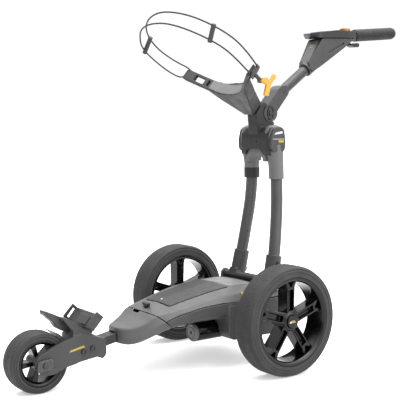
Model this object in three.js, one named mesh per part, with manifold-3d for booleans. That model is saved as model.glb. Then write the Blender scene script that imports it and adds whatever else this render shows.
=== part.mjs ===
// Electric golf trolley with three wheels, a folding twin-tube frame and a folding handle.
// Millimetres. +Z is up, -Y is the direction of travel, +X is the trolley's left.
// The origin is on the ground, below the middle of the rear axle.
import * as THREE from "three";
import { mergeVertices } from "three/addons/utils/BufferGeometryUtils.js";
import Module from "manifold-3d";

const wasm = await Module();
wasm.setup();

// Driving dimensions
const GAP = 0.3; // clearance between pieces that touch
const WALL = 3; // moulded shells
const REAR = { radius: 145, rim: 116, width: 70, track: 246 }; // rear wheels, track is the half track
const FRONT = { radius: 76, rim: 58, width: 62, y: -592 }; // front wheel
const WHEEL_SIDES = 32;
const AXLE_R = 6;
const MOTOR = { x: 50, z: 97, radius: 25, front: -162, rear: -48 };
const GEAR = { radius: 40, width: 14, wormRadius: 7.5 };
const TUBE_R = 17;
const BASE = { y: 84, z: 215 }; // fold axis at the foot of the frame
const HEAD = { y: 138, z: 685 }; // fold axis at the head
const HANDLE_FOLD = 70; // degrees the handle folds back
const CLAMP_LEAN = 40.3; // degrees the clamp leans back from upright
const SHAFT_R = 15.5;
const CORD_R = 2.2;
const DIAL = { y: 452, z: 934.4, radius: 19 };
const ORIGIN_BAG = new THREE.Vector3(0, 30, 738); // middle of the upper cradle's seat

// Directions
const X = new THREE.Vector3(1, 0, 0);
const Y = new THREE.Vector3(0, 1, 0);
const Z = new THREE.Vector3(0, 0, 1);
const BAG = new THREE.Vector3(0, 0.65, 0.76).normalize(); // the bag's axis
const TO_BAG = new THREE.Vector3().crossVectors(X, BAG); // from the cradle towards the bag

// Materials: colour, roughness, metalness
const FINISH = {
  darkPlastic: [0x4a4b4d, 0.55, 0.1],
  greyPlastic: [0x6a6b6d, 0.5, 0.1],
  satinMetal: [0x515255, 0.4, 0.7],
  rubber: [0x2c2c2d, 0.85, 0],
  glossBlack: [0x0b0b0c, 0.2, 0.1],
  steel: [0x9a9a9a, 0.3, 1],
  yellow: [0xf5c518, 0.45, 0],
  bronze: [0xb08a4a, 0.35, 0.9],
  cord: [0x1a1a1b, 0.7, 0],
  glass: [0x101214, 0.08, 0],
};

const trolley = new THREE.Group();

// ---------------------------------------------------------------- helpers

function withoutDegenerates(index) {
  const kept = [];
  for (let i = 0; i < index.length; i += 3) {
    const [a, b, c] = [index[i], index[i + 1], index[i + 2]];
    if (a !== b && b !== c && a !== c) kept.push(a, b, c);
  }
  return new Uint32Array(kept);
}

function solid(geometry) {
  const bare = geometry.clone();
  bare.deleteAttribute("normal");
  bare.deleteAttribute("uv");
  const merged = mergeVertices(bare, 1e-4);
  const vertProperties = merged.attributes.position.array;
  const triVerts = withoutDegenerates(merged.index.array);
  const made = new wasm.Manifold(new wasm.Mesh({ numProp: 3, vertProperties, triVerts }));
  if (made.volume() > 0) return made;
  const flipped = triVerts.slice().reverse();
  return new wasm.Manifold(new wasm.Mesh({ numProp: 3, vertProperties, triVerts: flipped }));
}

function geometryOf(body) {
  const mesh = body.getMesh();
  const geometry = new THREE.BufferGeometry();
  geometry.setAttribute("position", new THREE.BufferAttribute(mesh.vertProperties, 3));
  geometry.setIndex(new THREE.BufferAttribute(mesh.triVerts, 1));
  geometry.computeVertexNormals();
  return geometry;
}

function add(name, body, finish) {
  const [color, roughness, metalness] = FINISH[finish];
  const material = new THREE.MeshStandardMaterial({ color, roughness, metalness });
  const mesh = new THREE.Mesh(geometryOf(body), material);
  mesh.name = name;
  trolley.add(mesh);
}

function join(...bodies) {
  return bodies.reduce((a, b) => a.add(b));
}

function cut(body, ...tools) {
  return tools.reduce((a, b) => a.subtract(b), body);
}

function box(x0, x1, y0, y1, z0, z1) {
  const block = new THREE.BoxGeometry(x1 - x0, y1 - y0, z1 - z0);
  return solid(block.translate((x0 + x1) / 2, (y0 + y1) / 2, (z0 + z1) / 2));
}

// Cylinder or cone between two points
function rod(from, to, r0, r1 = r0, sides = 16) {
  const a = new THREE.Vector3(...from);
  const b = new THREE.Vector3(...to);
  const along = b.clone().sub(a);
  const geometry = new THREE.CylinderGeometry(r1, r0, along.length(), sides);
  geometry.translate(0, along.length() / 2, 0);
  geometry.applyQuaternion(new THREE.Quaternion().setFromUnitVectors(Y, along.normalize()));
  return solid(geometry.translate(a.x, a.y, a.z));
}

// Cylinder along X about the point (y, z)
function rodX(y, z, x0, x1, radius, sides = 16) {
  return rod([x0, y, z], [x1, y, z], radius, radius, sides);
}

// Outline with rounded corners; a third value at a point overrides the radius there
function outline(points, radius = 0) {
  const shape = new THREE.Shape();
  const n = points.length;
  points.forEach(([px, py, own], i) => {
    const r = own ?? radius;
    const corner = new THREE.Vector2(px, py);
    const before = new THREE.Vector2(...points[(i + n - 1) % n]).sub(corner);
    const after = new THREE.Vector2(...points[(i + 1) % n]).sub(corner);
    const start = corner.clone().addScaledVector(before.clone().normalize(), Math.min(r, before.length() / 2.1));
    const end = corner.clone().addScaledVector(after.clone().normalize(), Math.min(r, after.length() / 2.1));
    if (i) shape.lineTo(start.x, start.y);
    else shape.moveTo(start.x, start.y);
    if (r > 0) shape.quadraticCurveTo(corner.x, corner.y, end.x, end.y);
  });
  shape.closePath();
  return shape;
}

function extruded(shape, depth, basis) {
  const geometry = new THREE.ExtrudeGeometry(shape, { depth, bevelEnabled: false, curveSegments: 2 });
  return solid(geometry.applyMatrix4(basis));
}

// Outline in (Y, Z), extruded from x0 to x1
function plateX(points, x0, x1, radius = 0) {
  const basis = new THREE.Matrix4().makeBasis(Y, Z, X).setPosition(x0, 0, 0);
  return extruded(outline(points, radius), x1 - x0, basis);
}

// Outline in (X, Y), extruded from z0 to z1
function plateZ(points, z0, z1, radius = 0) {
  return extruded(outline(points, radius), z1 - z0, new THREE.Matrix4().setPosition(0, 0, z0));
}

// Closed profile of [radius, x], turned about the X axis through (y, z)
function turnedX(profile, y, z, sides) {
  const points = profile.map(([r, x]) => new THREE.Vector2(r, x));
  if (profile[0][0] > 0) points.push(points[0].clone());
  const geometry = new THREE.LatheGeometry(points, sides);
  return solid(geometry.rotateZ(-Math.PI / 2).translate(0, y, z));
}

// Closed profile of [radius, y], turned about the Y axis through (x, z)
function turnedY(profile, x, z, sides) {
  const points = profile.map(([r, y]) => new THREE.Vector2(r, y));
  if (profile[0][0] > 0) points.push(points[0].clone());
  return solid(new THREE.LatheGeometry(points, sides).translate(x, 0, z));
}

function ringShape(radius, hole, sides) {
  const shape = new THREE.Shape();
  const turn = (r, i) => [r * Math.cos((2 * Math.PI * i) / sides), r * Math.sin((2 * Math.PI * i) / sides)];
  for (let i = 0; i < sides; i++) i ? shape.lineTo(...turn(radius, i)) : shape.moveTo(...turn(radius, i));
  shape.closePath();
  if (hole) {
    const path = new THREE.Path();
    for (let i = 0; i < sides; i++) i ? path.lineTo(...turn(hole, i)) : path.moveTo(...turn(hole, i));
    path.closePath();
    shape.holes.push(path);
  }
  return shape;
}

// Tube along a smooth curve through the points
function tube(points, radius, hole, sides, steps) {
  const path = new THREE.CatmullRomCurve3(points.map((p) => new THREE.Vector3(...p)), false, "centripetal");
  const options = { steps, bevelEnabled: false, extrudePath: path };
  return solid(new THREE.ExtrudeGeometry(ringShape(radius, hole, sides), options));
}

// Closed solid through rings of equally many points, in order
function loft(rings) {
  const n = rings[0].length;
  const positions = rings.flat(2);
  const index = [];
  for (let r = 0; r + 1 < rings.length; r++)
    for (let i = 0; i < n; i++) {
      const a = r * n + i;
      const b = r * n + ((i + 1) % n);
      index.push(a, b, a + n, b, b + n, a + n);
    }
  for (const [first, flip] of [[0, true], [(rings.length - 1) * n, false]]) {
    const centre = positions.length / 3;
    for (let k = 0; k < 3; k++) {
      let sum = 0;
      for (let i = 0; i < n; i++) sum += positions[(first + i) * 3 + k];
      positions.push(sum / n);
    }
    for (let i = 0; i < n; i++) {
      const a = first + i;
      const b = first + ((i + 1) % n);
      flip ? index.push(b, a, centre) : index.push(a, b, centre);
    }
  }
  const geometry = new THREE.BufferGeometry();
  geometry.setAttribute("position", new THREE.Float32BufferAttribute(positions, 3));
  geometry.setIndex(index);
  return solid(geometry);
}

function moved(body, matrix) {
  return body.transform(matrix.elements);
}

// Turned by degrees about the X axis through (y, z)
function turnedAbout(body, y, z, degrees) {
  const matrix = new THREE.Matrix4().makeTranslation(0, y, z);
  matrix.multiply(new THREE.Matrix4().makeRotationX(THREE.MathUtils.degToRad(degrees)));
  matrix.multiply(new THREE.Matrix4().makeTranslation(0, -y, -z));
  return moved(body, matrix);
}

function mirrored(body) {
  return moved(body, new THREE.Matrix4().makeScale(-1, 1, 1));
}

// A point of the upper cradle: x across, along the bag's axis, and out towards the bag
function bagPoint(x, along, out) {
  const p = ORIGIN_BAG.clone().addScaledVector(X, x).addScaledVector(BAG, along).addScaledVector(TO_BAG, out);
  return [p.x, p.y, p.z];
}

// ---------------------------------------------------------------- wheels

function tyre({ radius, rim, width }, x, y) {
  const half = width / 2;
  const section = [
    [rim - 4, -half + 4.4],
    [rim + 0.3, -half + 4.4],
    [rim + 0.3, -half + 0.5],
    [radius - 11, -half],
    [radius, -half + 14],
    [radius, half - 14],
    [radius - 11, half],
    [rim + 0.3, half - 0.5],
    [rim + 0.3, half - 4.4],
    [rim - 4, half - 4.4],
  ];
  const turned = section.map(([r, across]) => [r, across + x]);
  return turnedX(turned, y, radius, WHEEL_SIDES);
}

function rimBarrel({ radius, rim, width }, x, y) {
  const half = width / 2;
  const section = [
    [rim - 12, -half + 6],
    [rim - 8, -half + 0.5],
    [rim, -half + 0.5],
    [rim, -half + 4.1],
    [rim - 4.3, -half + 4.1],
    [rim - 4.3, half - 4.1],
    [rim, half - 4.1],
    [rim, half - 0.5],
    [rim - 8, half - 0.5],
    [rim - 12, half - 6],
  ];
  const turned = section.map(([r, across]) => [r, across + x]);
  return turnedX(turned, y, radius, WHEEL_SIDES);
}

// Spoke with two rails that fork at the rim, pointing up from the axle
function doubleSpoke(x0, x1, y, z, reach) {
  const rails = plateX([[-12, 18], [12, 18], [13, reach - 20], [19, reach], [-19, reach], [-13, reach - 20]], x0, x1);
  const window = plateX([[0, reach - 21], [11, reach - 3], [-11, reach - 3]], x0 - 1, x1 + 1);
  const groove = plateX([[-8, 30], [8, 30], [8.5, reach - 25], [-8.5, reach - 25]], x1 - 14, x1 + 1);
  return moved(cut(rails, window, groove), new THREE.Matrix4().makeTranslation(0, y, z));
}

function rearRim(side) {
  const x = side * REAR.track;
  const inner = side > 0 ? x - 16 : x - 22;
  const outer = side > 0 ? x + 22 : x + 16;
  let body = rimBarrel(REAR, x, 0);
  for (let i = 0; i < 5; i++) {
    const upright = side > 0 ? doubleSpoke(inner, outer, 0, 0, 108) : mirrored(doubleSpoke(-outer, -inner, 0, 0, 108));
    const spoke = turnedAbout(upright, 0, 0, 72 * i);
    body = body.add(moved(spoke, new THREE.Matrix4().makeTranslation(0, 0, REAR.radius)));
  }
  body = body.add(rodX(0, REAR.radius, Math.min(side * 216, side * 272), Math.max(side * 216, side * 272), 25, 20));
  const bore = rodX(0, REAR.radius, side > 0 ? 200 : -262, side > 0 ? 262 : -200, AXLE_R + GAP);
  const seat = rodX(0, REAR.radius, side > 0 ? 261 : -280, side > 0 ? 280 : -261, 17, 20);
  return cut(body, bore, seat);
}

function wheelButton(side) {
  return rodX(0, REAR.radius, side > 0 ? 266 : -275, side > 0 ? 275 : -266, 16.2, 20);
}

function rearWheels() {
  for (const [name, side] of [["left", 1], ["right", -1]]) {
    add(`${name}_tyre`, tyre(REAR, side * REAR.track, 0), "rubber");
    add(`${name}_rim`, rearRim(side), "glossBlack");
    add(`${name}_wheel_button`, wheelButton(side), "glossBlack");
  }
}

function frontWheel() {
  add("front_tyre", tyre(FRONT, 0, FRONT.y), "rubber");
  let body = rimBarrel(FRONT, 0, FRONT.y);
  const blade = [[-4, 10], [4, 10], [8, 50], [-8, 50]];
  for (let i = 0; i < 5; i++) {
    const spoke = turnedAbout(plateX(blade, -16, 20), 0, 0, 72 * i + 20);
    body = body.add(moved(spoke, new THREE.Matrix4().makeTranslation(0, FRONT.y, FRONT.radius)));
  }
  body = body.add(rodX(FRONT.y, FRONT.radius, -27, 31, 15));
  add("front_rim", cut(body, rodX(FRONT.y, FRONT.radius, -40, 40, 5.3)), "glossBlack");
}

// ---------------------------------------------------------------- drive

function drive() {
  add("drive_axle", rodX(0, REAR.radius, -260.5, 260.5, AXLE_R), "steel");
  const teeth = [];
  const count = 24;
  for (let i = 0; i < count * 2; i++) {
    const angle = (Math.PI * i) / count;
    const r = i % 2 ? GEAR.radius : GEAR.radius - 3;
    teeth.push([r * Math.cos(angle), REAR.radius + r * Math.sin(angle)]);
  }
  const wheel = plateX(teeth, MOTOR.x - GEAR.width / 2, MOTOR.x + GEAR.width / 2);
  add("worm_wheel", cut(wheel, rodX(0, REAR.radius, 30, 70, AXLE_R + GAP)), "bronze");
  const can = [[10.6, -48], [10.6, -52], [21.5, -52], [21.5, -152], [MOTOR.radius, -152], [MOTOR.radius, -48]];
  add("motor_can", turnedY(can, MOTOR.x, MOTOR.z, 20), "glossBlack");
  const cap = [[4.4, -162], [4.4, -152.3], [24.6, -152.3], [24.6, -158], [21, -162]];
  add("motor_end_cap", turnedY(cap, MOTOR.x, MOTOR.z, 20), "greyPlastic");
  const rotor = [[0, -158], [4, -158], [4, -140], [20.5, -140], [20.5, -62], [6, -62], [6, -38], [7.5, -36], [7.5, 36], [4, 37], [4, 45], [0, 45]];
  add("motor_rotor", turnedY(rotor, MOTOR.x, MOTOR.z, 12), "steel");
}

function gearboxHalf(side) {
  const x0 = side > 0 ? MOTOR.x + GAP / 2 : MOTOR.x - 18;
  const x1 = side > 0 ? MOTOR.x + 18 : MOTOR.x - GAP / 2;
  const z = REAR.radius;
  let body = join(rodX(0, z, x0, x1, 47, 24), box(x0, x1, -47, 47, 80.4, z));
  const room = join(
    rodX(0, z, MOTOR.x - 10, MOTOR.x + 10, 42, 24),
    box(MOTOR.x - 10, MOTOR.x + 10, -42, 42, 87, 112),
  );
  const wormBore = rod([MOTOR.x, -50, MOTOR.z], [MOTOR.x, -40, MOTOR.z], 10.6);
  const tailBore = rod([MOTOR.x, 40, MOTOR.z], [MOTOR.x, 50, MOTOR.z], 4.4);
  return cut(body, room, wormBore, tailBore, rodX(0, z, 0, 100, AXLE_R + 0.5));
}

function gearbox() {
  add("gearbox_left_half", gearboxHalf(1), "satinMetal");
  add("gearbox_right_half", gearboxHalf(-1), "satinMetal");
}

function axleTubes() {
  for (const [name, from, to, bearing] of [
    ["left", MOTOR.x + 18 + GAP, 180, 164],
    ["right", -180, MOTOR.x - 18 - GAP, -178],
  ]) {
    const pipe = cut(rodX(0, REAR.radius, from, to, 16), rodX(0, REAR.radius, from - 1, to + 1, 12.3));
    add(`${name}_axle_tube`, pipe, "satinMetal");
    const ring = [[AXLE_R + 0.4, bearing], [12, bearing], [12, bearing + 14], [AXLE_R + 0.4, bearing + 14]];
    add(`${name}_axle_bearing`, turnedX(ring, 0, REAR.radius, 24), "steel");
  }
}

// ---------------------------------------------------------------- chassis

// Cross-sections of the body, front to rear. Each row is the height or half width of:
// y, bottom, its half width, side seam, its half width, shoulder, its half width, lid edge, its half width, crown
const SECTIONS = [
  [-376, 96, 8, 108, 14, 126, 14, 131, 9, 132],
  [-372, 93, 18, 108, 26, 128, 26, 133, 20, 133.5],
  [-362, 90, 30, 108, 40, 129, 39, 134, 33, 135],
  [-350, 88, 38, 108, 51, 130, 49, 135, 43, 136.5],
  [-332, 90, 46, 112, 62, 136, 58, 141, 50, 143],
  [-310, 97, 54, 124, 74, 147, 67, 151, 50, 153],
  [-287, 107, 62, 138, 84, 161, 74, 165, 52, 167],
  [-241, 124, 78, 155, 95, 171, 84, 177, 58, 181],
  [-200, 130, 86, 166, 103, 180, 92, 187, 61, 191],
  [-150, 135, 96, 175, 112, 190, 100, 197, 65, 201],
  [-100, 136, 104, 179, 120, 197, 107, 206, 69, 209],
  [-50, 136, 108, 179, 123, 202, 111, 212, 72, 214.5],
  [10, 136, 110, 179, 124, 204, 112, 213, 73, 215],
  [52, 136, 110, 178, 124, 202, 112, 208, 73, 210],
  [60, 136, 110, 177, 124, 196, 112, 199, 73, 200],
  [104, 136, 108, 172, 122, 190, 110, 194, 72, 195],
  [114, 140, 100, 165, 116, 182, 104, 186, 70, 187],
];

function bodyRing(section, inset) {
  const [y, bottom, wBottom, seam, wSeam, shoulder, wShoulder, edge, wEdge, crown] = section;
  const half = [
    [0, bottom + inset],
    [wBottom - inset, bottom + inset],
    [wSeam - 3 - inset, bottom + 12 + inset],
    [wSeam - inset, seam],
    [wShoulder - inset, shoulder - inset * 0.7],
    [wEdge - inset * 0.5, edge - inset],
    [0, crown - inset],
  ];
  const other = half.slice(1, -1).reverse().map(([x, z]) => [-x, z]);
  return [...half, ...other].map(([x, z]) => [x, y, z]);
}

function bodyForm(inset) {
  const last = SECTIONS.length - 1;
  const rings = SECTIONS.map((section, i) => {
    const shift = i === 0 ? inset : i === last ? -inset : 0;
    return bodyRing([section[0] + shift, ...section.slice(1)], inset);
  });
  return loft(rings);
}

const NOSE_SEAM = [[-420, 40], [-420, 260], [-400.6, 260], [-287, 161], [-241, 124], [-146, 40]];
const SIDE_SEAM = [
  [-420, 60], [-420, 60.5], [-262, 148], [-227, 160], [-165, 173.5], [-110, 179], [-60, 178.5], [120, 177.5],
  [120, 60],
];
const LID_PLAN = [[-58, -238], [58, -238], [72, -51], [-72, -51]];

function shifted(points, dy, dz) {
  return points.map(([y, z]) => [y + dy, z + dz]);
}

// Housing below the body for the motor and gearbox; the left part reaches further forward
const SUMP = { left: -88, right: -28, rear: 100, bottom: 77, top: 170, half: 123, innerTop: 164 };

function sumpSide(front, inset) {
  const top = inset ? SUMP.innerTop : SUMP.top;
  const rear = SUMP.rear - inset;
  const bottom = SUMP.bottom + inset;
  return [
    [front + inset, top, 0], [front + inset, bottom + 16], [front + inset + 14, bottom], [rear - 3, bottom, 0],
    [rear, bottom + 3, 0], [rear, top, 0],
  ];
}

function sump(inset) {
  const half = SUMP.half - inset;
  const left = plateX(sumpSide(SUMP.left, inset), -40 + inset, half, 6);
  return left.add(plateX(sumpSide(SUMP.right, inset), -half, half, 6));
}

const FRONT_BAR = [[-446, 82.3], [-292, 109.9], [-292, 134.3], [-446, 106.7]];
const FRONT_BAR_BORE = [[-447, 84.7], [-291, 112.3], [-291, 131.9], [-447, 104.3]];
const FORK_BOLTS = [["fork_bolt_front", -484, 93], ["fork_bolt_rear", -459, 97.5]];
const BOLT_HOLE_R = 4.3;
const FRONT_AXLE_HOLE_R = 5.4;

function chassis() {
  const outer = bodyForm(0);
  const inner = bodyForm(WALL);
  const shell = outer.subtract(inner);
  const nose = plateX(NOSE_SEAM, -200, 200);
  const noseGrown = plateX(shifted(NOSE_SEAM, GAP, GAP), -200, 200);
  const lower = plateX(SIDE_SEAM, -200, 200);
  const lowerGrown = plateX(shifted(SIDE_SEAM, 0, GAP), -200, 200);
  const barHole = plateX([[-450, 81], [-350, 99], [-350, 124.6], [-450, 106.6]], -18.4, 18.4);

  add("nose_cover", cut(shell.intersect(nose), barHole), "darkPlastic");

  const lidCut = plateZ(LID_PLAN, 150, 260, 8);
  const main = cut(shell, noseGrown);
  const stem = rod([0, -266, 157], [0, -274, 187], 6.2);
  add("upper_shell", cut(main, lowerGrown, lidCut, stem), "darkPlastic");

  const lidPlan = LID_PLAN.map(([x, y]) => [x - Math.sign(x) * 0.5, y + (y < -100 ? 0.5 : -0.5)]);
  add("battery_lid", outer.subtract(inner).intersect(plateZ(lidPlan, 150, 260, 8)), "darkPlastic");

  const tub = cut(outer.add(sump(0)), inner, sump(WALL), noseGrown).intersect(lower);
  const motorPath = rod([MOTOR.x, -170, MOTOR.z], [MOTOR.x, -40, MOTOR.z], MOTOR.radius + GAP, MOTOR.radius + GAP, 20);
  const axlePath = rodX(0, REAR.radius, -200, 200, 16 + GAP);
  add("chassis_tray", cut(tub, motorPath, axlePath), "darkPlastic");
}

function battery() {
  const pack = plateX([[-212, 139.6], [-64, 139.6], [-64, 202], [-212, 178]], -52, 52, 5);
  const gripWell = plateX([[-160, 176], [-118, 183], [-118, 210], [-160, 203]], -28, 28, 3);
  const grip = plateX([[-144, 184], [-134, 185.6], [-134, 192.6], [-144, 191]], -28, 28);
  add("battery_pack", join(cut(pack, gripWell), grip), "glossBlack");
}

function controller() {
  add("controller_box", box(-100, -12, 24, 90, 80.5, 124), "satinMetal");
}

function lidLatch() {
  const base = new THREE.Vector3(0, -270, 172.6);
  const up = new THREE.Vector3(0, -0.27, 0.963).normalize();
  const at = (d) => base.clone().addScaledVector(up, d).toArray();
  const stem = rod(at(-12), at(3), 5.6);
  const knob = rod(at(2.2), at(5), 9, 9);
  const bar = new THREE.BoxGeometry(28, 8, 7);
  bar.applyQuaternion(new THREE.Quaternion().setFromUnitVectors(Z, up));
  const top = base.clone().addScaledVector(up, 8);
  add("lid_latch", join(stem, knob, solid(bar.translate(top.x, top.y, top.z))), "glossBlack");
}

// ---------------------------------------------------------------- front end

function frontEnd() {
  const boltHoles = FORK_BOLTS.map(([, y, z]) => rodX(y, z, -60, 60, BOLT_HOLE_R));
  const bar = cut(plateX(FRONT_BAR, -18, 18), plateX(FRONT_BAR_BORE, -15.6, 15.6));
  add("front_bar", cut(bar, ...boltHoles.slice(1)), "satinMetal");

  const arm = plateX(
    [[-616, 80], [-606, 99], [-543, 124], [-508, 134], [-498, 130], [-498, 66], [-530, 61], [-566, 48], [-590, 49], [-612, 62]],
    34, 46, 6,
  );
  const block = plateX(
    [[-509, 66], [-509, 134], [-490, 137], [-446, 126], [-421, 116], [-419, 78], [-430, 67], [-446, 74], [-480, 70]],
    -23, 46, 3,
  );
  const neck = plateX(
    [[-511, 110], [-510, 147], [-534, 174], [-528, 182], [-486, 152], [-446, 127], [-446, 100]],
    14.6, 40, 3,
  );
  const socket = plateX([[-447, 81.4], [-400, 89.8], [-400, 116], [-447, 107.4]], -18.4, 18.4);
  const hub = rodX(FRONT.y, FRONT.radius, 30, 60, FRONT_AXLE_HOLE_R);
  add("front_fork", cut(join(arm, block, neck), socket, hub, ...boltHoles), "darkPlastic");

  for (const [name, y, z] of FORK_BOLTS)
    add(name, join(rodX(y, z, -24, 47, 4), rodX(y, z, 46.3, 50, 7, 6)), "steel");

  const hex = cut(rodX(FRONT.y, FRONT.radius, 46.3, 54, 25, 6), hub);
  add("tracking_adjuster", hex, "darkPlastic");
  const axle = join(
    rodX(FRONT.y, FRONT.radius, -36, 57, 5),
    rodX(FRONT.y, FRONT.radius, -38, -33, 9, 6),
    rodX(FRONT.y, FRONT.radius, 54.3, 58, 9, 6),
  );
  add("front_axle_bolt", axle, "steel");

  const guard = [];
  for (let i = 0; i <= 10; i++) guard.push([79.6, 5 + 5.5 * i]);
  for (let i = 10; i >= 0; i--) guard.push([82, 5 + 5.5 * i]);
  const arc = guard.map(([r, angle]) => {
    const a = THREE.MathUtils.degToRad(angle);
    return [FRONT.y + r * Math.cos(a), FRONT.radius + r * Math.sin(a)];
  });
  add("front_mudguard", plateX(arc, -34, 33.6), "darkPlastic");
}

function lowerCradle() {
  const back = plateX([[-471, 149], [-442, 181], [-437.6, 177], [-466.6, 145]], -65, 65);
  const ear = [[-466.6, 145], [-471, 149], [-485, 163], [-456, 193], [-437.6, 177]];
  const slot = [[-473, 162], [-468, 157], [-450, 177], [-455, 182]];
  const ears = [-65, 61].map((x) => cut(plateX(ear, x, x + 4, 3), plateX(slot, x - 1, x + 5)));
  const emblem = plateX([[-471.5, 156], [-466, 151], [-448, 171], [-453.5, 176]], -26, 26);
  const foot = plateX([[-468, 146], [-444, 172], [-432, 160], [-441, 127], [-447, 128], [-468, 133]], -13, 13);
  add("lower_cradle", join(back, ...ears, emblem, foot), "darkPlastic");

  const fin = plateX(
    [[-476, 152], [-519, 175], [-556, 193], [-573, 200, 4], [-575, 191, 5], [-549, 168], [-537, 151], [-515, 139], [-486, 139], [-474, 144]],
    -14, 14, 2,
  );
  add("cradle_toe", fin, "darkPlastic");
}

// ---------------------------------------------------------------- folding frame

const TUBE_PATH = [[73.2, 104, 258], [72.1, 110, 285], [66.5, 121, 355], [59.5, 130, 430], [54.4, 132.5, 499], [52.6, 132, 535]];

function tubePath(side, extra) {
  const points = TUBE_PATH.map(([x, y, z]) => [side * x, y, z]);
  points[0] = [side * (73.2 + extra * 0.05), 104 - extra * 0.2, 258 - extra];
  points[points.length - 1][2] += extra;
  return points;
}

function frameFoot() {
  const axis = rodX(BASE.y, BASE.z, -112, 112, 11);
  let body = axis;
  for (const side of [1, -1]) {
    const collar = rod([side * 74, 98.5, 224], [side * 72.1, 110.5, 285], 22.5, 22, 18);
    const gusset = plateX([[84, 206], [93, 206], [119, 226], [120, 234], [78, 234], [75, 222]], side > 0 ? 58 : -90, side > 0 ? 90 : -58, 2);
    body = join(body, collar, gusset);
  }
  for (const side of [1, -1]) body = body.subtract(tube(tubePath(side, 0.4), TUBE_R + GAP, 0, 14, 4));
  body = cut(body, rodX(BASE.y, BASE.z, -120, 120, 4.3), rodX(106, 263, 85, 100, 5.4, 16));
  add("base_crossbar", body, "darkPlastic");
  add("frame_lock_button", rodX(106, 263, 93.4, 99, 5, 16), "glossBlack");

  const plate = box(-122, 122, 66, 102, 200.6, 203.4);
  const ear = [[68, 201], [70, 219], [78, 227], [90, 227], [98, 219], [101, 201]];
  const bracket = join(plate, plateX(ear, -122, -112.6, 3), plateX(ear, 112.6, 122, 3));
  add("base_hinge_bracket", cut(bracket, rodX(BASE.y, BASE.z, -130, 130, 4.3)), "darkPlastic");
  add("base_hinge_pin", join(rodX(BASE.y, BASE.z, -124, 124, 4), rodX(BASE.y, BASE.z, 122.3, 126, 7, 6)), "steel");

  add("left_frame_tube", tube(tubePath(1, 0), TUBE_R, 15, 14, 4), "satinMetal");
  add("right_frame_tube", tube(tubePath(-1, 0), TUBE_R, 15, 14, 4), "satinMetal");
}

// A point along the clamp and across it towards the rear, with the clamp leaning back from upright
function atLean(degrees, along, across) {
  const lean = THREE.MathUtils.degToRad(degrees);
  const y = HEAD.y + Math.sin(lean) * along + Math.cos(lean) * across;
  return [y, HEAD.z + Math.cos(lean) * along - Math.sin(lean) * across];
}

const atClamp = (along, across) => atLean(CLAMP_LEAN, along, across);
const atFolded = (along, across) => atLean(CLAMP_LEAN + HANDLE_FOLD + 1, along, across);

function clampForm() {
  const arm = [
    atClamp(-6, 15.9), atClamp(8, 17), atClamp(86, 17), atClamp(101, 9), atClamp(99, -9), atClamp(87, -19),
    atClamp(70, -23), atClamp(8, -23), atClamp(-2, -16.9),
  ];
  return plateX(arm, -20.5, 20.5).add(rodX(HEAD.y, HEAD.z, -20.5, 20.5, 17, 24));
}

function knuckle() {
  const root = plateX([[112, 640], [112, 668], [124, 693], [140, 672], [138, 640]], -10.4, 10.4);
  return root.add(rodX(HEAD.y, HEAD.z, -10.4, 10.4, 16, 24));
}

// Leg sections from the foot up: x, y, z, and the radii along X and Y
const LEG = [
  [54.4, 132.5, 499, 21.5, 21.5],
  [54, 131.5, 530, 21.5, 21.8],
  [53.3, 128.5, 562, 21.5, 25],
  [52, 124.5, 590, 22, 29],
  [52, 123, 616, 22, 30],
  [51.5, 123, 635, 20.5, 27],
  [50.5, 123, 646, 16, 20],
  [50, 123, 651, 8, 10],
];

function leg(side) {
  const sides = 16;
  const rings = LEG.map(([cx, cy, cz, rx, ry]) =>
    Array.from({ length: sides }, (_, i) => {
      const a = (2 * Math.PI * i) / sides;
      return [side * cx + rx * Math.cos(a), cy + ry * Math.sin(a), cz];
    }),
  );
  return loft(rings);
}

function yoke() {
  const crown = plateX(
    [[95, 580], [98, 574], [148, 574], [151, 622, 12], [142, 642, 8], [104, 642, 8], [93, 622, 12]],
    -52, 52, 4,
  );
  const web = plateX([[118, 554], [148, 554], [149, 590], [112, 590]], -40, 40, 3);
  const neck = plateX(
    [[92, 626], [86, 683], [112, 716], [124, 712], [150, 690], [156, 660], [149, 626]],
    -20, 20, 2,
  );
  const sweep = [atClamp(-6, -25), atClamp(130, -25), [300, 700], atFolded(130, 18.6), atFolded(0, 18.6)];
  const wide = cut(neck, plateX(sweep, -30, 30), rodX(HEAD.y, HEAD.z, -30, 30, 18.6, 24));
  let body = join(crown, web, leg(1), leg(-1), wide, knuckle());
  for (const side of [1, -1]) body = body.subtract(tube(tubePath(side, 0.4), TUBE_R + GAP, 0, 14, 4));
  body = cut(body, rodX(HEAD.y, HEAD.z, -40, 40, 5.3));

  const badge = [[104, 596], [142, 596], [146, 616, 14], [138, 634, 12], [108, 634, 12], [100, 616, 14]];
  const recess = plateX(badge, 71.6, 90, 6);
  add("frame_yoke", cut(body, recess, mirrored(recess)), "darkPlastic");
  const inset = badge.map(([y, z, r]) => [122.5 + (y - 122.5) * 0.97, 615 + (z - 615) * 0.97, r]);
  add("left_yoke_badge", plateX(inset, 71.9, 73.8, 6), "greyPlastic");
  add("right_yoke_badge", plateX(inset, -73.8, -71.9, 6), "greyPlastic");
  const bolt = join(
    rodX(HEAD.y, HEAD.z, -23, 23, 5),
    rodX(HEAD.y, HEAD.z, 20.9, 25, 8, 6),
    rodX(HEAD.y, HEAD.z, -25, -20.9, 8, 6),
  );
  add("head_pivot_bolt", bolt, "steel");
}

// ---------------------------------------------------------------- upper bag support

// Half sections of the support: x, front, back, lower and upper edge along the bag
const SUPPORT = [
  [0, 12, -72.5, -15, 30],
  [20, 13.5, -72.5, -15, 30],
  [21, 13.6, -68, -15, 29],
  [40, 18, -36, -16, 24],
  [56, 26, -10, -17, 20],
  [70, 37, 14, -17, 18],
  [80, 45, 34, -17, 17],
  [140, 89.35, 79.2, -17, 17],
  [149, 93.5, 86, -15, 15],
];

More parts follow.
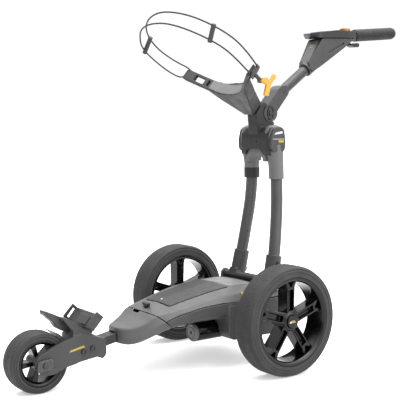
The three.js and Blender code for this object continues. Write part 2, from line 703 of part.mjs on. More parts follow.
function cordPoints(list, origin) {
  const across = new THREE.Vector3(0, -0.819, 0.574);
  return list.map(([x, v]) => origin.clone().addScaledVector(X, x).addScaledVector(across, v).toArray());
}

const UPPER_CORD = [
  [-146, -8], [-149, 16], [-164, 35], [-179, 66], [-186, 98], [-178, 138], [-155, 175], [-110, 210], [-55, 231], [0, 237],
  [50, 227], [95, 205], [130, 173], [154, 138], [166, 100], [164, 60], [158, 30], [147, -8],
];
const LOWER_CORD = [
  [-142, -5.5], [-150, -1.5], [-168, -1], [-182, 9], [-195, 35], [-201, 75], [-199, 112], [-185, 145], [-155, 174], [-115, 202], [-70, 217],
  [-20, 220], [25, 212], [64, 192], [100, 162], [128, 128], [144, 95], [148, 55], [144, -1],
];

function strapCords(radius, hole, steps) {
  const upper = tube(cordPoints(UPPER_CORD, new THREE.Vector3(0, -22, 808)), radius, hole, 6, steps);
  const lower = tube(cordPoints(LOWER_CORD, new THREE.Vector3(0, -45, 790)), radius, hole, 6, steps);
  return [upper, lower];
}

function support() {
  const ring = ([x, front, back, low, high], side) => [
    bagPoint(side * x, low, front), bagPoint(side * x, high, front),
    bagPoint(side * x, high, back), bagPoint(side * x, low, back),
  ];
  const rows = [...SUPPORT.slice(1).reverse().map((s) => ring(s, -1)), ...SUPPORT.map((s) => ring(s, 1))];
  let body = loft(rows);
  for (const side of [1, -1]) {
    const window = (x0, x1, t0, t1) => {
      const h = (x) => 45 + (x - 80) * 0.74;
      const corners = (x, t) => [bagPoint(side * x, t, h(x) + 20), bagPoint(side * x, t, h(x) - 30)];
      const [a, b] = corners(x0, t0);
      const [c, d] = corners(x0, t1);
      const [e, f] = corners(x1, t0);
      const [g, k] = corners(x1, t1);
      return loft([[a, c, d, b], [e, g, k, f]]);
    };
    body = cut(body, window(95, 121, -9, 9), window(81, 87, -9, 9));
  }
  const [upper, lower] = strapCords(CORD_R + GAP, 0, 30);
  body = cut(body, upper, lower);
  add("upper_cradle", body, "darkPlastic");

  const [cordA, cordB] = strapCords(CORD_R, 0, 30);
  add("strap_cord_upper", cordA, "cord");
  add("strap_cord_lower", cordB, "cord");
  for (const [name, a, b] of [
    ["left_strap_spacer", [138, 161], [124, 133]],
    ["right_strap_spacer", [-173, 148], [-198, 121]],
  ]) {
    const [from] = cordPoints([a], new THREE.Vector3(0, -22, 808));
    const [to] = cordPoints([b], new THREE.Vector3(0, -45, 790));
    const along = new THREE.Vector3(...to).sub(new THREE.Vector3(...from)).normalize();
    const start = new THREE.Vector3(...from).addScaledVector(along, -6).toArray();
    const end = new THREE.Vector3(...to).addScaledVector(along, 6).toArray();
    add(name, cut(rod(start, end, 5.5, 5.5, 10), upper, lower), "cord");
  }
}

// Buckle behind the left end of the support, and the hook that hangs on it
const HOOK_PIVOT = { y: 10, z: 769 };

function buckle() {
  const ring = (x) => {
    const back = 86 - (149 - x) * 0.7536;
    return [bagPoint(x, -4, back - GAP), bagPoint(x, 26, back - GAP), bagPoint(x, 26, back - 14), bagPoint(x, -4, back - 14)];
  };
  const block = loft([ring(124), ring(147)]);
  const neck = rod(bagPoint(128, 10, 60), [128, HOOK_PIVOT.y, HOOK_PIVOT.z], 5.4);
  const eye = rodX(HOOK_PIVOT.y, HOOK_PIVOT.z, 122, 134, 7);
  const [upper, lower] = strapCords(CORD_R + GAP, 0, 30);
  add("strap_buckle", cut(join(block, neck, eye), upper, lower, rodX(HOOK_PIVOT.y, HOOK_PIVOT.z, 100, 150, 2.8)), "darkPlastic");
  const fork = plateX(
    [[3, 766], [8, 776], [22, 778], [31, 768], [46, 788, 3], [56, 780, 3], [37, 758], [27, 727, 3], [13, 730, 3], [21, 758]],
    134.4, 142, 2,
  );
  add("strap_hook", join(fork, rodX(HOOK_PIVOT.y, HOOK_PIVOT.z, 121, 136, 2.5)), "yellow");
}

// ---------------------------------------------------------------- handle

const SHAFT_FROM = [0, 187, 740.2];
const SHAFT_TO = [0, 316, 833.3];

function clamp() {
  let body = clampForm();
  body = cut(body, box(-10.8, 10.8, HEAD.y - 40, HEAD.y + 90, HEAD.z - 40, HEAD.z + 21));
  body = cut(body, rodX(HEAD.y, HEAD.z, -40, 40, 5.3), rod(SHAFT_FROM, SHAFT_TO, SHAFT_R + GAP));
  add("handle_clamp", body, "satinMetal");
  const wall = cut(rod([0, 187.4, 740.5], SHAFT_TO, SHAFT_R), rod([0, 180, 735.4], [0, 326, 840.5], 13.5));
  add("handle_shaft", wall, "satinMetal");
}

const CONSOLE_SIDE = [[283, 831], [330, 906], [470, 914.3], [484, 912], [480, 908], [456, 904], [309, 814], [298, 805], [292, 812]];
const CONSOLE_PLAN = [[-20, 275], [20, 275], [30, 326], [31, 420], [17, 490], [-17, 490], [-31, 420], [-30, 326]];

function consoleParts() {
  const form = plateX(CONSOLE_SIDE, -40, 40, 4).intersect(plateZ(CONSOLE_PLAN, 700, 1000, 6));
  const collar = rod([0, 286.5, 812.3], [0, 301, 822.8], 21.5, 22, 18);
  const room = plateX([[334, 850], [342, 898], [340, 930], [455, 930], [450, 906], [345, 842]], -26, 26);
  const core = rod([0, 455, 921.4], [0, 652, 941], 13.5, 13.5, 16);
  const throat = rod([0, 440, 915], [0, 486, 924.6], 20, 16, 16);
  let body = join(cut(join(form, collar, throat), cut(room, throat)), core);
  const shaft = rod(SHAFT_FROM, SHAFT_TO, SHAFT_R + GAP);
  body = cut(body, shaft.add(rod([0, 315, 832.6], [0, 317, 834], SHAFT_R + GAP)), rod([0, 472, 885], [0, 472, 916], 3.4, 3.4, 12));
  const lid = plateX([[280, 925], [317, 906.2], [470, 914.7], [480, 914.7], [480, 950], [280, 950]], -50, 50);
  body = cut(body, lid);
  add("console_body", body, "darkPlastic");

  const panelSide = [[293, 917], [318, 906.6], [470, 915.2], [474, 934], [386, 933], [300, 921]];
  const panelPlan = [[-16, 294], [16, 294], [32, 318], [35, 345], [36, 430], [27, 476], [-27, 476], [-36, 430], [-35, 345], [-32, 318]];
  let panel = plateX(panelSide, -50, 50, 1.5).intersect(plateZ(panelPlan, 800, 1000, 8));
  const glassCut = plateX([[330, 924.5], [388, 931], [408, 931], [408, 940], [330, 940]], -24, 24);
  panel = cut(panel, glassCut, rod([0, DIAL.y, 922], [0, DIAL.y, 940], 5.4));
  add("display_panel", panel, "glossBlack");
  const glass = plateX([[330.4, 925.2], [388, 931.4], [407.6, 931.4], [407.6, 933.2], [387, 933], [330.4, 926.6]], -23.6, 23.6);
  add("display_window", glass, "glass");
  const dial = join(
    rod([0, DIAL.y, DIAL.z], [0, DIAL.y, DIAL.z + 11.6], DIAL.radius, DIAL.radius - 1.5, 24),
    rod([0, DIAL.y, 923], [0, DIAL.y, DIAL.z + 1], 5, 5, 16),
  );
  add("speed_dial", dial, "bronze");

  const grip = [[13.9, 0], [17.6, 0], [18.6, 6], [18.6, 167], [15, 177], [8, 180.3], [0, 181], [0, 168], [13.9, 168]];
  const sleeve = new THREE.LatheGeometry([...grip, grip[0]].map(([r, y]) => new THREE.Vector2(r, y)), 20);
  const slope = Math.atan2(19.6, 197);
  sleeve.rotateX(slope).translate(0, 487.8, 924.7);
  add("hand_grip", solid(sleeve), "rubber");
  const paddle = plateX(
    [[467, 893.5], [480, 889], [500, 889.5], [505, 895], [502, 902], [488, 902], [480, 899.5], [467, 899.5]],
    -8, 8, 1,
  );
  add("brake_button", join(paddle, rod([0, 472, 897], [0, 472, 911], 3, 3, 12)), "glossBlack");
}

rearWheels();
frontWheel();
drive();
gearbox();
axleTubes();
chassis();
battery();
controller();
lidLatch();
frontEnd();
lowerCradle();
frameFoot();
yoke();
support();
buckle();
clamp();
consoleParts();

export default trolley;
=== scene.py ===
"""Looks of the electric golf trolley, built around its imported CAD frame.

Tables and helpers work in millimetres, and mesh_of() turns them into metres.
+Z is up, -Y is the direction of travel, +X is the trolley's left.
"""

import math

import bpy  # noqa: E402
import bmesh  # noqa: E402
import numpy as np  # noqa: E402
from mathutils import Matrix, Vector  # noqa: E402


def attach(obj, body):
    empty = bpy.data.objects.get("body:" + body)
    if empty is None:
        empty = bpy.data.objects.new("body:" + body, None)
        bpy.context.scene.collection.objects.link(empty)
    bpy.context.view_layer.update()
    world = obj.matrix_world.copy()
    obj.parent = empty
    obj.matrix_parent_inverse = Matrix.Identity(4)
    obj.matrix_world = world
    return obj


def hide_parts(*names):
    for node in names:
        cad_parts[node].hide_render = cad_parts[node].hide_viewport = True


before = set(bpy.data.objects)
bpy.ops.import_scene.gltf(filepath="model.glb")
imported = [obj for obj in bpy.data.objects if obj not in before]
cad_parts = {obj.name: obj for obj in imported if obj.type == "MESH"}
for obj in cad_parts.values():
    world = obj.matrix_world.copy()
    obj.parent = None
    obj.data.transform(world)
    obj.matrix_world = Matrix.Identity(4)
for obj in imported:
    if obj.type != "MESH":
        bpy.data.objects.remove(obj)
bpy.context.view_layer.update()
scene = bpy.context.scene
MM = 0.001

# ---- camera

AZIMUTH, ELEVATION = math.radians(53.8245), math.radians(4.8875)
back = Vector(
    (
        math.sin(AZIMUTH) * math.cos(ELEVATION), -math.cos(AZIMUTH) * math.cos(ELEVATION),
        math.sin(ELEVATION)
    )
)
lens = bpy.data.cameras.new("camera")
lens.sensor_width = 36
lens.lens = 79.96
lens.shift_x, lens.shift_y = -0.0028, 0.00265
lens.clip_start, lens.clip_end = 0.05, 200
camera = bpy.data.objects.new("camera", lens)
camera.location = (1.9569, -1.5227, 0.6509)
camera.rotation_euler = (-back).to_track_quat("-Z", "Y").to_euler()
scene.collection.objects.link(camera)
scene.camera = camera
scene.view_settings.view_transform = "Standard"

# ---- materials


def linear(value):
    """sRGB 0..1 to linear, for a grey or a colour."""
    if isinstance(value, (int, float)):
        value = (value, value, value)
    return tuple(c / 12.92 if c <= 0.04045 else ((c + 0.055) / 1.055) ** 2.4 for c in value)


GRAIN_DEPTH, ROUGH_SPAN = 0.0002, 0.08


def finish_of(
    name, colour, rough, metal=0.0, coat=0.0, coat_rough=0.1, specular=0.5, mottle=0.12,
    mottle_scale=18, grain=0.25, grain_scale=900, edge_lift=0.25, stretch=None
):
    """A surface finish: mottled colour, lighter sharp convex edges, uneven roughness and a fine
    grain.
    """
    made = bpy.data.materials.new(name)
    made.use_nodes = True
    tree = made.node_tree
    shader = tree.nodes["Principled BSDF"]
    shader.inputs["Metallic"].default_value = metal
    shader.inputs["Coat Weight"].default_value = coat
    shader.inputs["Coat Roughness"].default_value = coat_rough
    shader.inputs["Specular IOR Level"].default_value = specular

    def node(kind, **values):
        n = tree.nodes.new(kind)
        for key, value in values.items():
            setattr(n, key, value)
        return n

    def noise(scale, detail, source):
        n = node("ShaderNodeTexNoise")
        n.inputs["Scale"].default_value = scale
        n.inputs["Detail"].default_value = detail
        tree.links.new(source, n.inputs["Vector"])
        return n.outputs["Fac"]

    def spread(source, low, high, out_low, out_high):
        n = node("ShaderNodeMapRange")
        for key, value in (
            ("From Min", low), ("From Max", high), ("To Min", out_low), ("To Max", out_high)
        ):
            n.inputs[key].default_value = value
        tree.links.new(source, n.inputs["Value"])
        return n.outputs["Result"]

    place = node("ShaderNodeTexCoord").outputs["Object"]
    if stretch:
        scaled = node("ShaderNodeMapping")
        scaled.inputs["Scale"].default_value = stretch
        tree.links.new(place, scaled.inputs["Vector"])
        fine_place = scaled.outputs["Vector"]
    else:
        fine_place = place
    base = linear(colour)
    mix = node("ShaderNodeMix", data_type="RGBA")
    mix.inputs["A"].default_value = (*[c * (1 - mottle) for c in base], 1)
    mix.inputs["B"].default_value = (*[min(1, c * (1 + mottle)) for c in base], 1)
    tree.links.new(spread(noise(mottle_scale, 5, place), 0.3, 0.7, 0, 1), mix.inputs["Factor"])
    out = mix.outputs["Result"]
    # Colour made lighter on sharp convex edges, where pointiness is high
    if edge_lift:
        edge = node("ShaderNodeNewGeometry").outputs["Pointiness"]
        edge_tint = node("ShaderNodeMix", data_type="RGBA")
        edge_tint.inputs["B"].default_value = (*[min(1, c * 1.5 + 0.02) for c in base], 1)
        tree.links.new(out, edge_tint.inputs["A"])
        tree.links.new(spread(edge, 0.52, 0.6, 0, edge_lift), edge_tint.inputs["Factor"])
        out = edge_tint.outputs["Result"]
    tree.links.new(out, shader.inputs["Base Color"])
    tree.links.new(
        spread(
            noise(mottle_scale * 3, 4, place), 0.3, 0.7, max(0.02, rough - ROUGH_SPAN),
            min(1, rough + ROUGH_SPAN)
        ),
        shader.inputs["Roughness"]
    )
    if grain:
        bump = node("ShaderNodeBump")
        bump.inputs["Strength"].default_value = grain
        bump.inputs["Distance"].default_value = GRAIN_DEPTH
        tree.links.new(noise(grain_scale, 3, fine_place), bump.inputs["Height"])
        tree.links.new(bump.outputs["Normal"], shader.inputs["Normal"])
    return made


BODY = finish_of("body_plastic", 0.235, 0.4, specular=0.3, mottle=0.1)
LID = finish_of("lid_plastic", 0.09, 0.42, specular=0.3, mottle=0.1)
BODY_DARK = finish_of("body_plastic_dark", 0.2, 0.46, specular=0.3, mottle=0.1)
BODY_LIGHT = finish_of("body_plastic_light", 0.34, 0.4, specular=0.3, mottle=0.06)
MECHANISM = finish_of("mechanism_plastic", 0.16, 0.42, specular=0.3, mottle=0.12, grain=0.35)
# Cover colour: partly the cover's own dark grey, partly painted shade, because the front faces of
# neck and crown turn away from the lamps
COVER_WITH_PAINTED_SHADE = finish_of("cover_plastic_with_painted_shade", 0.088, 0.5, specular=0.25, mottle=0.1, grain=0.3)
CRADLE = finish_of("cradle_plastic", 0.032, 0.42, specular=0.3, mottle=0.08, edge_lift=0.1, grain=0.2)
SEAT = finish_of("seat_plastic", 0.32, 0.45, specular=0.25, mottle=0.08, edge_lift=0.1)
YOKE = finish_of("yoke_plastic", 0.29, 0.4, specular=0.3, mottle=0.08)
GREY = finish_of("grey_plastic", 0.3, 0.42, specular=0.3, mottle=0.1)
FRAME = finish_of("frame_paint", 0.2, 0.34, metal=0.1, specular=0.35, mottle=0.08, grain=0.15)
SHAFT = finish_of("shaft_paint", 0.16, 0.34, metal=0.1, specular=0.35, mottle=0.08, grain=0.15)
BAR = finish_of("bar_paint", 0.085, 0.34, metal=0.1, specular=0.35, mottle=0.08, grain=0.15)
RUBBER = finish_of(
    "tyre_rubber", 0.155, 0.68, specular=0.2, mottle=0.16, grain=0.5, grain_scale=600
)
GRIP = finish_of("grip_foam", 0.045, 0.6, specular=0.25, mottle=0.12, grain=0.7, grain_scale=1400)
GLOSS = finish_of("gloss_black", 0.012, 0.17, specular=0.2, coat=0.1, mottle=0.1, grain=0.04)
SATIN_BLACK = finish_of("satin_black", 0.07, 0.38, specular=0.3, mottle=0.12)
STEEL = finish_of(
    "brushed_steel", 0.45, 0.34, metal=1, mottle=0.08, grain=0.3, stretch=(1, 12, 12)
)
DARK_STEEL = finish_of("dark_steel", 0.2, 0.36, metal=0.8, mottle=0.12, grain=0.3)
CAST = finish_of("cast_metal", 0.3, 0.45, metal=0.8, mottle=0.12, grain=0.6)
YELLOW = finish_of("yellow_plastic", (0.62, 0.46, 0.1), 0.4, mottle=0.06, edge_lift=0.1, grain=0.2)
MARK_YELLOW = finish_of("yellow_mark", (0.5, 0.42, 0.12), 0.45, mottle=0.08, edge_lift=0, grain=0.1)
BRONZE = finish_of("bronze", (0.6, 0.45, 0.24), 0.32, metal=1, mottle=0.12)
DIAL_METAL = finish_of(
    "dial_metal", (0.5, 0.36, 0.16), 0.34, metal=0.6, mottle=0.1, stretch=(1, 1, 20)
)
CORD = finish_of(
    "cord_sleeve", 0.08, 0.7, mottle=0.25, mottle_scale=700, grain=0.5, grain_scale=1300
)
GLASS = finish_of(
    "display_glass", 0.04, 0.1, coat=1, coat_rough=0.03, mottle=0.3, grain=0.0, edge_lift=0
)
WHITE = finish_of("white_mark", 0.6, 0.4, mottle=0.04, edge_lift=0, grain=0.1)

# The record's slot for a piece of this material, where the piece doesn't name another
SLOT_OF = {}
for slot, group in (
    ("dark_plastic", (BODY, LID, BODY_DARK, BODY_LIGHT, MECHANISM, COVER_WITH_PAINTED_SHADE, CRADLE, SEAT, YOKE)),
    ("grey_plastic", (GREY,)), ("frame_metal", (FRAME, SHAFT, BAR)), ("rubber", (RUBBER, GRIP)),
    ("gloss_black", (GLOSS, SATIN_BLACK)), ("steel", (STEEL, DARK_STEEL)), ("cast", (CAST,)),
    ("yellow", (YELLOW, MARK_YELLOW)), ("anodised", (DIAL_METAL,)), ("screen", (GLASS,))
):
    SLOT_OF.update({made.name: slot for made in group})

# ---- forms: (points, faces) in mm


def rounded(points, radius=0.0, steps=5):
    """Outline with rounded corners; a third value at a point overrides the radius there."""
    out = []
    n = len(points)
    for i, p in enumerate(points):
        corner = np.array(p[:2], float)
        r = p[2] if len(p) > 2 else radius
        to_before = np.array(points[i - 1][:2], float) - corner
        to_after = np.array(points[(i + 1) % n][:2], float) - corner
        lb, la = np.linalg.norm(to_before), np.linalg.norm(to_after)
        if r <= 0:
            out.append(corner)
            continue
        start = corner + to_before / lb * min(r, lb / 2.1)
        end = corner + to_after / la * min(r, la / 2.1)
        for k in range(steps + 1):
            t = k / steps
            out.append((1 - t) ** 2 * start + 2 * t * (1 - t) * corner + t * t * end)
    return out


def joined(*forms):
    points, faces = [], []
    for p, f in forms:
        base = len(points)
        points += [tuple(map(float, q)) for q in p]
        faces += [[i + base for i in face] for face in f]
    return points, faces


def prism(outline, low, high, place):
    n = len(outline)
    points = [place(u, v, w) for w in (low, high) for u, v in outline]
    faces = [list(range(n))[::-1], list(range(n, 2 * n))]
    faces += [[i, (i + 1) % n, n + (i + 1) % n, n + i] for i in range(n)]
    return points, faces


def plate_x(points, x0, x1, radius=0.0):
    """Outline in (Y, Z), from x0 to x1."""
    return prism(rounded(points, radius), x0, x1, lambda u, v, w: (w, u, v))


def plate_z(points, z0, z1, radius=0.0):
    """Outline in (X, Y), from z0 to z1."""
    return prism(rounded(points, radius), z0, z1, lambda u, v, w: (u, v, w))


def box(x0, x1, y0, y1, z0, z1):
    return plate_z([[x0, y0], [x1, y0], [x1, y1], [x0, y1]], z0, z1)


def loft(rings, closed=False):
    """Solid through rings of equally many points; closed joins the last ring to the first."""
    n = len(rings[0])
    points = [tuple(p) for ring in rings for p in ring]
    faces = []
    count = len(rings)
    for r in range(count if closed else count - 1):
        s = (r + 1) % count
        faces += [
            [r * n + i, r * n + (i + 1) % n, s * n + (i + 1) % n, s * n + i] for i in range(n)
        ]
    if not closed:
        faces += [list(range(n))[::-1], list(range((count - 1) * n, count * n))]
    return points, faces


def frame_along(direction):
    """Two directions square to this one."""
    d = np.array(direction, float) / np.linalg.norm(direction)
    other = np.array((0, 0, 1.0)) if abs(d[2]) < 0.9 else np.array((1.0, 0, 0))
    u = np.cross(other, d)
    u /= np.linalg.norm(u)
    return d, u, np.cross(d, u)


def turned(profile, origin, direction, sides=64):
    """Closed profile of [radius, distance along], turned about a line."""
    d, u, v = frame_along(direction)
    origin = np.array(origin, float)
    rings = []
    for i in range(sides):
        a = 2 * math.pi * i / sides
        out = u * math.cos(a) + v * math.sin(a)
        rings.append([origin + d * t + out * max(r, 0.001) for r, t in profile])
    return loft(rings, closed=True)


def ellipse(cx, cy, rx, ry, sides):
    angles = [2 * math.pi * i / sides for i in range(sides)]
    return [(cx + rx * math.cos(a), cy + ry * math.sin(a)) for a in angles]


def soft_profile(profile, radius, steps=3):
    return [tuple(p) for p in rounded(profile, radius, steps)]


def rod(a, b, r0, r1=None, sides=40):
    r1 = r0 if r1 is None else r1
    length = np.linalg.norm(np.subtract(b, a))
    return turned([(0, 0), (r0, 0), (r1, length), (0, length)], a, np.subtract(b, a), sides)


def rod_x(y, z, x0, x1, radius, sides=40):
    return rod((x0, y, z), (x1, y, z), radius, radius, sides)


def spline(points, steps):
    """Points along a centripetal Catmull-Rom curve."""
    p = [np.array(q, float) for q in points]
    p = [2 * p[0] - p[1], *p, 2 * p[-1] - p[-2]]
    out = []
    each = max(1, steps // (len(points) - 1))
    for i in range(1, len(p) - 2):
        t = [0.0]
        for k in range(3):
            t.append(t[-1] + max(1e-6, np.linalg.norm(p[i + k] - p[i + k - 1]) ** 0.5))
        q = p[i - 1 : i + 3]
        for s in range(each):
            x = t[1] + (t[2] - t[1]) * s / each
            a = [
                ((t[k + 1] - x) * q[k] + (x - t[k]) * q[k + 1]) / (t[k + 1] - t[k])
                for k in range(3)
            ]
            b = [
                ((t[k + 2] - x) * a[k] + (x - t[k]) * a[k + 1]) / (t[k + 2] - t[k])
                for k in range(2)
            ]
            out.append(((t[2] - x) * b[0] + (x - t[1]) * b[1]) / (t[2] - t[1]))
    out.append(p[-2])
    return out


def tube(points, radius, sides=40, steps=60):
    path = spline(points, steps)
    d, u, _ = frame_along(path[1] - path[0])
    rings = []
    for i, q in enumerate(path):
        ahead = path[min(i + 1, len(path) - 1)] - path[max(i - 1, 0)]
        d = ahead / np.linalg.norm(ahead)
        u = u - d * np.dot(u, d)
        u /= np.linalg.norm(u)
        v = np.cross(d, u)
        rings.append(
            [
                q + radius * (
                    u * math.cos(2 * math.pi * k / sides) + v * math.sin(2 * math.pi * k / sides)
                ) for k in range(sides)
            ]
        )
    return loft(rings)


def moved(form, matrix):
    return [tuple(matrix @ Vector(p)) for p in form[0]], form[1]


def shifted(form, y=0.0, z=0.0):
    return moved(form, Matrix.Translation((0, y, z)))


def turned_about(form, y, z, degrees):
    spin = Matrix.Rotation(math.radians(degrees), 4, "X")
    return moved(form, Matrix.Translation((0, y, z)) @ spin @ Matrix.Translation((0, -y, -z)))


def mirrored(form):
    return [(-p[0], p[1], p[2]) for p in form[0]], [f[::-1] for f in form[1]]


def on_side(form, side):
    """The form as it is on the left (1), or mirrored on the right (-1)."""
    return form if side > 0 else mirrored(form)


# ---- pieces


def mesh_of(name, form):
    mesh = bpy.data.meshes.new(name)
    mesh.from_pydata([[c * MM for c in p] for p in form[0]], [], form[1])
    made = bmesh.new()
    made.from_mesh(mesh)
    bmesh.ops.remove_doubles(made, verts=made.verts, dist=0.00001)
    bmesh.ops.dissolve_degenerate(made, edges=made.edges, dist=0.000005)
    bmesh.ops.recalc_face_normals(made, faces=made.faces)
    made.to_mesh(mesh)
    made.free()
    return mesh


def object_of(name, mesh):
    obj = bpy.data.objects.new(name, mesh)
    scene.collection.objects.link(obj)
    return obj


def applied(obj):
    """The object with its modifiers applied."""
    graph = bpy.context.evaluated_depsgraph_get()
    mesh = bpy.data.meshes.new_from_object(obj.evaluated_get(graph))
    obj.modifiers.clear()
    old = obj.data
    obj.data = mesh
    bpy.data.meshes.remove(old)
    return obj


def settle(obj, body, material, replaces, smooth, slot):
    obj.data.materials.clear()
    obj.data.materials.append(material)
    obj.data.polygons.foreach_set("use_smooth", [True] * len(obj.data.polygons))
    obj.data.set_sharp_from_angle(angle=math.radians(smooth))
    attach(obj, body)
    slot = slot or SLOT_OF.get(material.name)
    if replaces:
        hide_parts(*replaces)
    return obj


def plain(name, form, body, material, replaces=(), bevel=0.0, smooth=35, slot=None):
    """A piece whose form is final, with its hard edges rounded a little."""
    obj = object_of(name, mesh_of(name, form))
    if bevel:
        mod = obj.modifiers.new("edge", "BEVEL")
        mod.width = bevel * MM
        mod.segments = 3
        mod.limit_method = "ANGLE"
        mod.angle_limit = math.radians(40)
        applied(obj)
    return settle(obj, body, material, replaces, smooth, slot)


def moulded(
    name, adds, body, material, replaces=(), cuts=(), within=(), voxel=1.2, smooth=4, keep=0.45,
    slot=None
):
    """A moulded piece: forms joined, others cut away, and every edge rounded."""
    obj = object_of(name, mesh_of(name, adds[0]))
    tools = []
    for forms, operation in ((adds[1:], "UNION"), (within, "INTERSECT"), (cuts, "DIFFERENCE")):
        for form in forms:
            tool = object_of(f"{name}_tool", mesh_of(f"{name}_tool", form))
            mod = obj.modifiers.new("cut", "BOOLEAN")
            mod.operation = operation
            mod.solver = "MANIFOLD"
            mod.object = tool
            tools.append(tool)
    if tools:
        applied(obj)
        for tool in tools:
            mesh = tool.data
            bpy.data.objects.remove(tool)
            bpy.data.meshes.remove(mesh)
    if not obj.data.polygons:
        raise RuntimeError(f"{name} came out empty")
    mod = obj.modifiers.new("skin", "REMESH")
    mod.mode = "VOXEL"
    mod.voxel_size = voxel * MM
    mod = obj.modifiers.new("soften", "SMOOTH")
    mod.factor = 0.5
    mod.iterations = smooth
    mod = obj.modifiers.new("lighten", "DECIMATE")
    mod.ratio = keep
    applied(obj)
    return settle(obj, body, material, replaces, 50, slot)


# ---- wheels

REAR = {"radius": 145, "rim": 116, "width": 70, "track": 246}
FRONT = {"radius": 76, "rim": 58, "width": 62, "y": -592}
FRONT_HUB = (FRONT["y"], FRONT["radius"])
HEX = 6


def tyre_form(wheel, x, y, around, ribs):
    """Tyre with two grooves round each side wall and a shallow arrow tread."""
    radius, rim, half = wheel["radius"], wheel["rim"], wheel["width"] / 2
    side = radius - rim
    wall = [
        (0.02, 0.0), (0.3, -0.1), (0.36, 1.1), (0.42, 1.1), (0.47, -0.2), (0.6, 0.4), (0.66, 1.6),
        (0.72, 1.6), (0.78, 0.9), (0.86, 2.6)
    ]
    shoulder = [(rim + side * t, half - inset - 0.4) for t, inset in wall]
    section = [(rim - 4, half - 4.4), (rim + 0.3, half - 4.4)] + shoulder
    section += [(radius - 2.8, half - 6.8), (radius - 1.1, half - 11)]
    tread = np.linspace(half - 14, -half + 14, 25)
    mirror = [(r, -w) for r, w in reversed(section)]
    profile = section + [(radius - 0.2, w) for w in tread] + mirror
    rings = []
    for i in range(around):
        a = 2 * math.pi * i / around
        ring = []
        for r, w in profile:
            if r > radius - 2:
                phase = (i * ribs / around + abs(w) / (half * 0.55)) % 1
                rise = 0.5 - 0.5 * math.cos(2 * math.pi * phase)
                r = r - 0.45 * (rise > 0.7) * min(1, (abs(w) + 2) / 6)
                if abs(w) < 1.2:
                    r -= 0.9
            ring.append((x + w, y + r * math.cos(a), radius + r * math.sin(a)))
        rings.append(ring)
    return loft(rings, closed=True)


def barrel_form(wheel, x, y):
    rim, half = wheel["rim"], wheel["width"] / 2
    lip = [(12, 7), (8.5, 2.5), (5, 0.6), (1.2, 0.6), (0, 1.6), (0, 4.1), (4.3, 4.1)]
    section = [(rim - depth, inset - half) for depth, inset in lip]
    section += [(rim - depth, half - inset) for depth, inset in reversed(lip)]
    return turned(soft_profile(section, 0.7, 2), (x, y, wheel["radius"]), (1, 0, 0), 144)


def double_spoke(x0, x1, reach):
    rails = plate_x(
        [[-12, 16], [12, 16], [13, reach - 20], [19, reach], [-19, reach], [-13, reach - 20]], x0,
        x1
    )
    window = plate_x([[0, reach - 21], [11, reach - 3], [-11, reach - 3]], x0 - 1, x1 + 1)
    groove = plate_x(
        [[-8, 28], [8, 28], [8.5, reach - 25], [-8.5, reach - 25]], x1 - 14, x1 + 1, 2
    )
    return rails, [window, groove]


def rear_wheel(name, side):
    x = side * REAR["track"]
    body = f"{name}_wheel"
    plain(
        f"{name}_tyre_rubber", tyre_form(REAR, x, 0, 576, 72), body, RUBBER, [f"{name}_tyre"],
        smooth=28
    )
    plain(f"{name}_rim_barrel", barrel_form(REAR, x, 0), body, GLOSS)
    adds, cuts = [], []
    for i in range(5):
        rails, gone = double_spoke(230, 268, 108)
        for group, forms in ((adds, [rails]), (cuts, gone)):
            for form in forms:
                form = shifted(turned_about(form, 0, 0, 72 * i), z=REAR["radius"])
                group.append(on_side(form, side))
    hub = turned(
        [(0, 216), (24, 216), (25, 218), (25, 268), (22, 272), (0, 272)], (0, 0, REAR["radius"]),
        (side, 0, 0), 64
    )
    bore = turned(
        [(0, 205), (6.3, 205), (6.3, 262), (17, 262), (17, 290), (0, 290)], (0, 0, REAR["radius"]),
        (side, 0, 0), 64
    )
    moulded(
        f"{name}_rim_spokes", [hub] + adds, body, GLOSS, [f"{name}_rim"], cuts=cuts + [bore],
        voxel=1.4, smooth=3
    )
    release = f"{name}_release"
    cap = soft_profile([(0, 266.2), (16.1, 266.2), (16.1, 274.9), (0, 274.9)], 1.6, 4)
    plain(
        f"{name}_hub_cap", turned(cap, (0, 0, REAR["radius"]), (side, 0, 0), 64), release, GLOSS,
        [f"{name}_wheel_button"]
    )
    for part, material, outline in (
        ("yellow", MARK_YELLOW, [[-11, -3], [-1, -3], [3, 3], [-7, 3]]),
        ("white", WHITE, [[1.2, -3], [11, -3], [9, 0], [4.6, 3], [5, 3]])
    ):
        mark = plate_x([[y * -side, z + REAR["radius"]] for y, z in outline], 274.6, 275.0)
        plain(f"{name}_hub_mark_{part}", on_side(mark, side), release, material)


def front_wheel():
    y, z = FRONT_HUB
    plain(
        "front_tyre_rubber", tyre_form(FRONT, 0, y, 400, 44), "front_wheel", RUBBER,
        ["front_tyre"], smooth=28
    )
    plain("front_rim_barrel", barrel_form(FRONT, 0, y), "front_wheel", GLOSS)
    adds = []
    for i in range(5):
        blade = plate_x([[-4, 8], [4, 8], [8, 51], [-8, 51]], -16, 20)
        adds.append(shifted(turned_about(blade, 0, 0, 72 * i + 20), y=y, z=z))
    hub = turned([(0, -27), (15, -27), (15, 31), (0, 31)], (0, y, z), (1, 0, 0), 56)
    bore = rod_x(y, z, -40, 40, 5.3)
    moulded(
        "front_rim_spokes", [hub] + adds, "front_wheel", GLOSS, ["front_rim"], cuts=[bore],
        voxel=1.1, smooth=3
    )


for name, side in (("left", 1), ("right", -1)):
    rear_wheel(name, side)
front_wheel()

# ---- drive

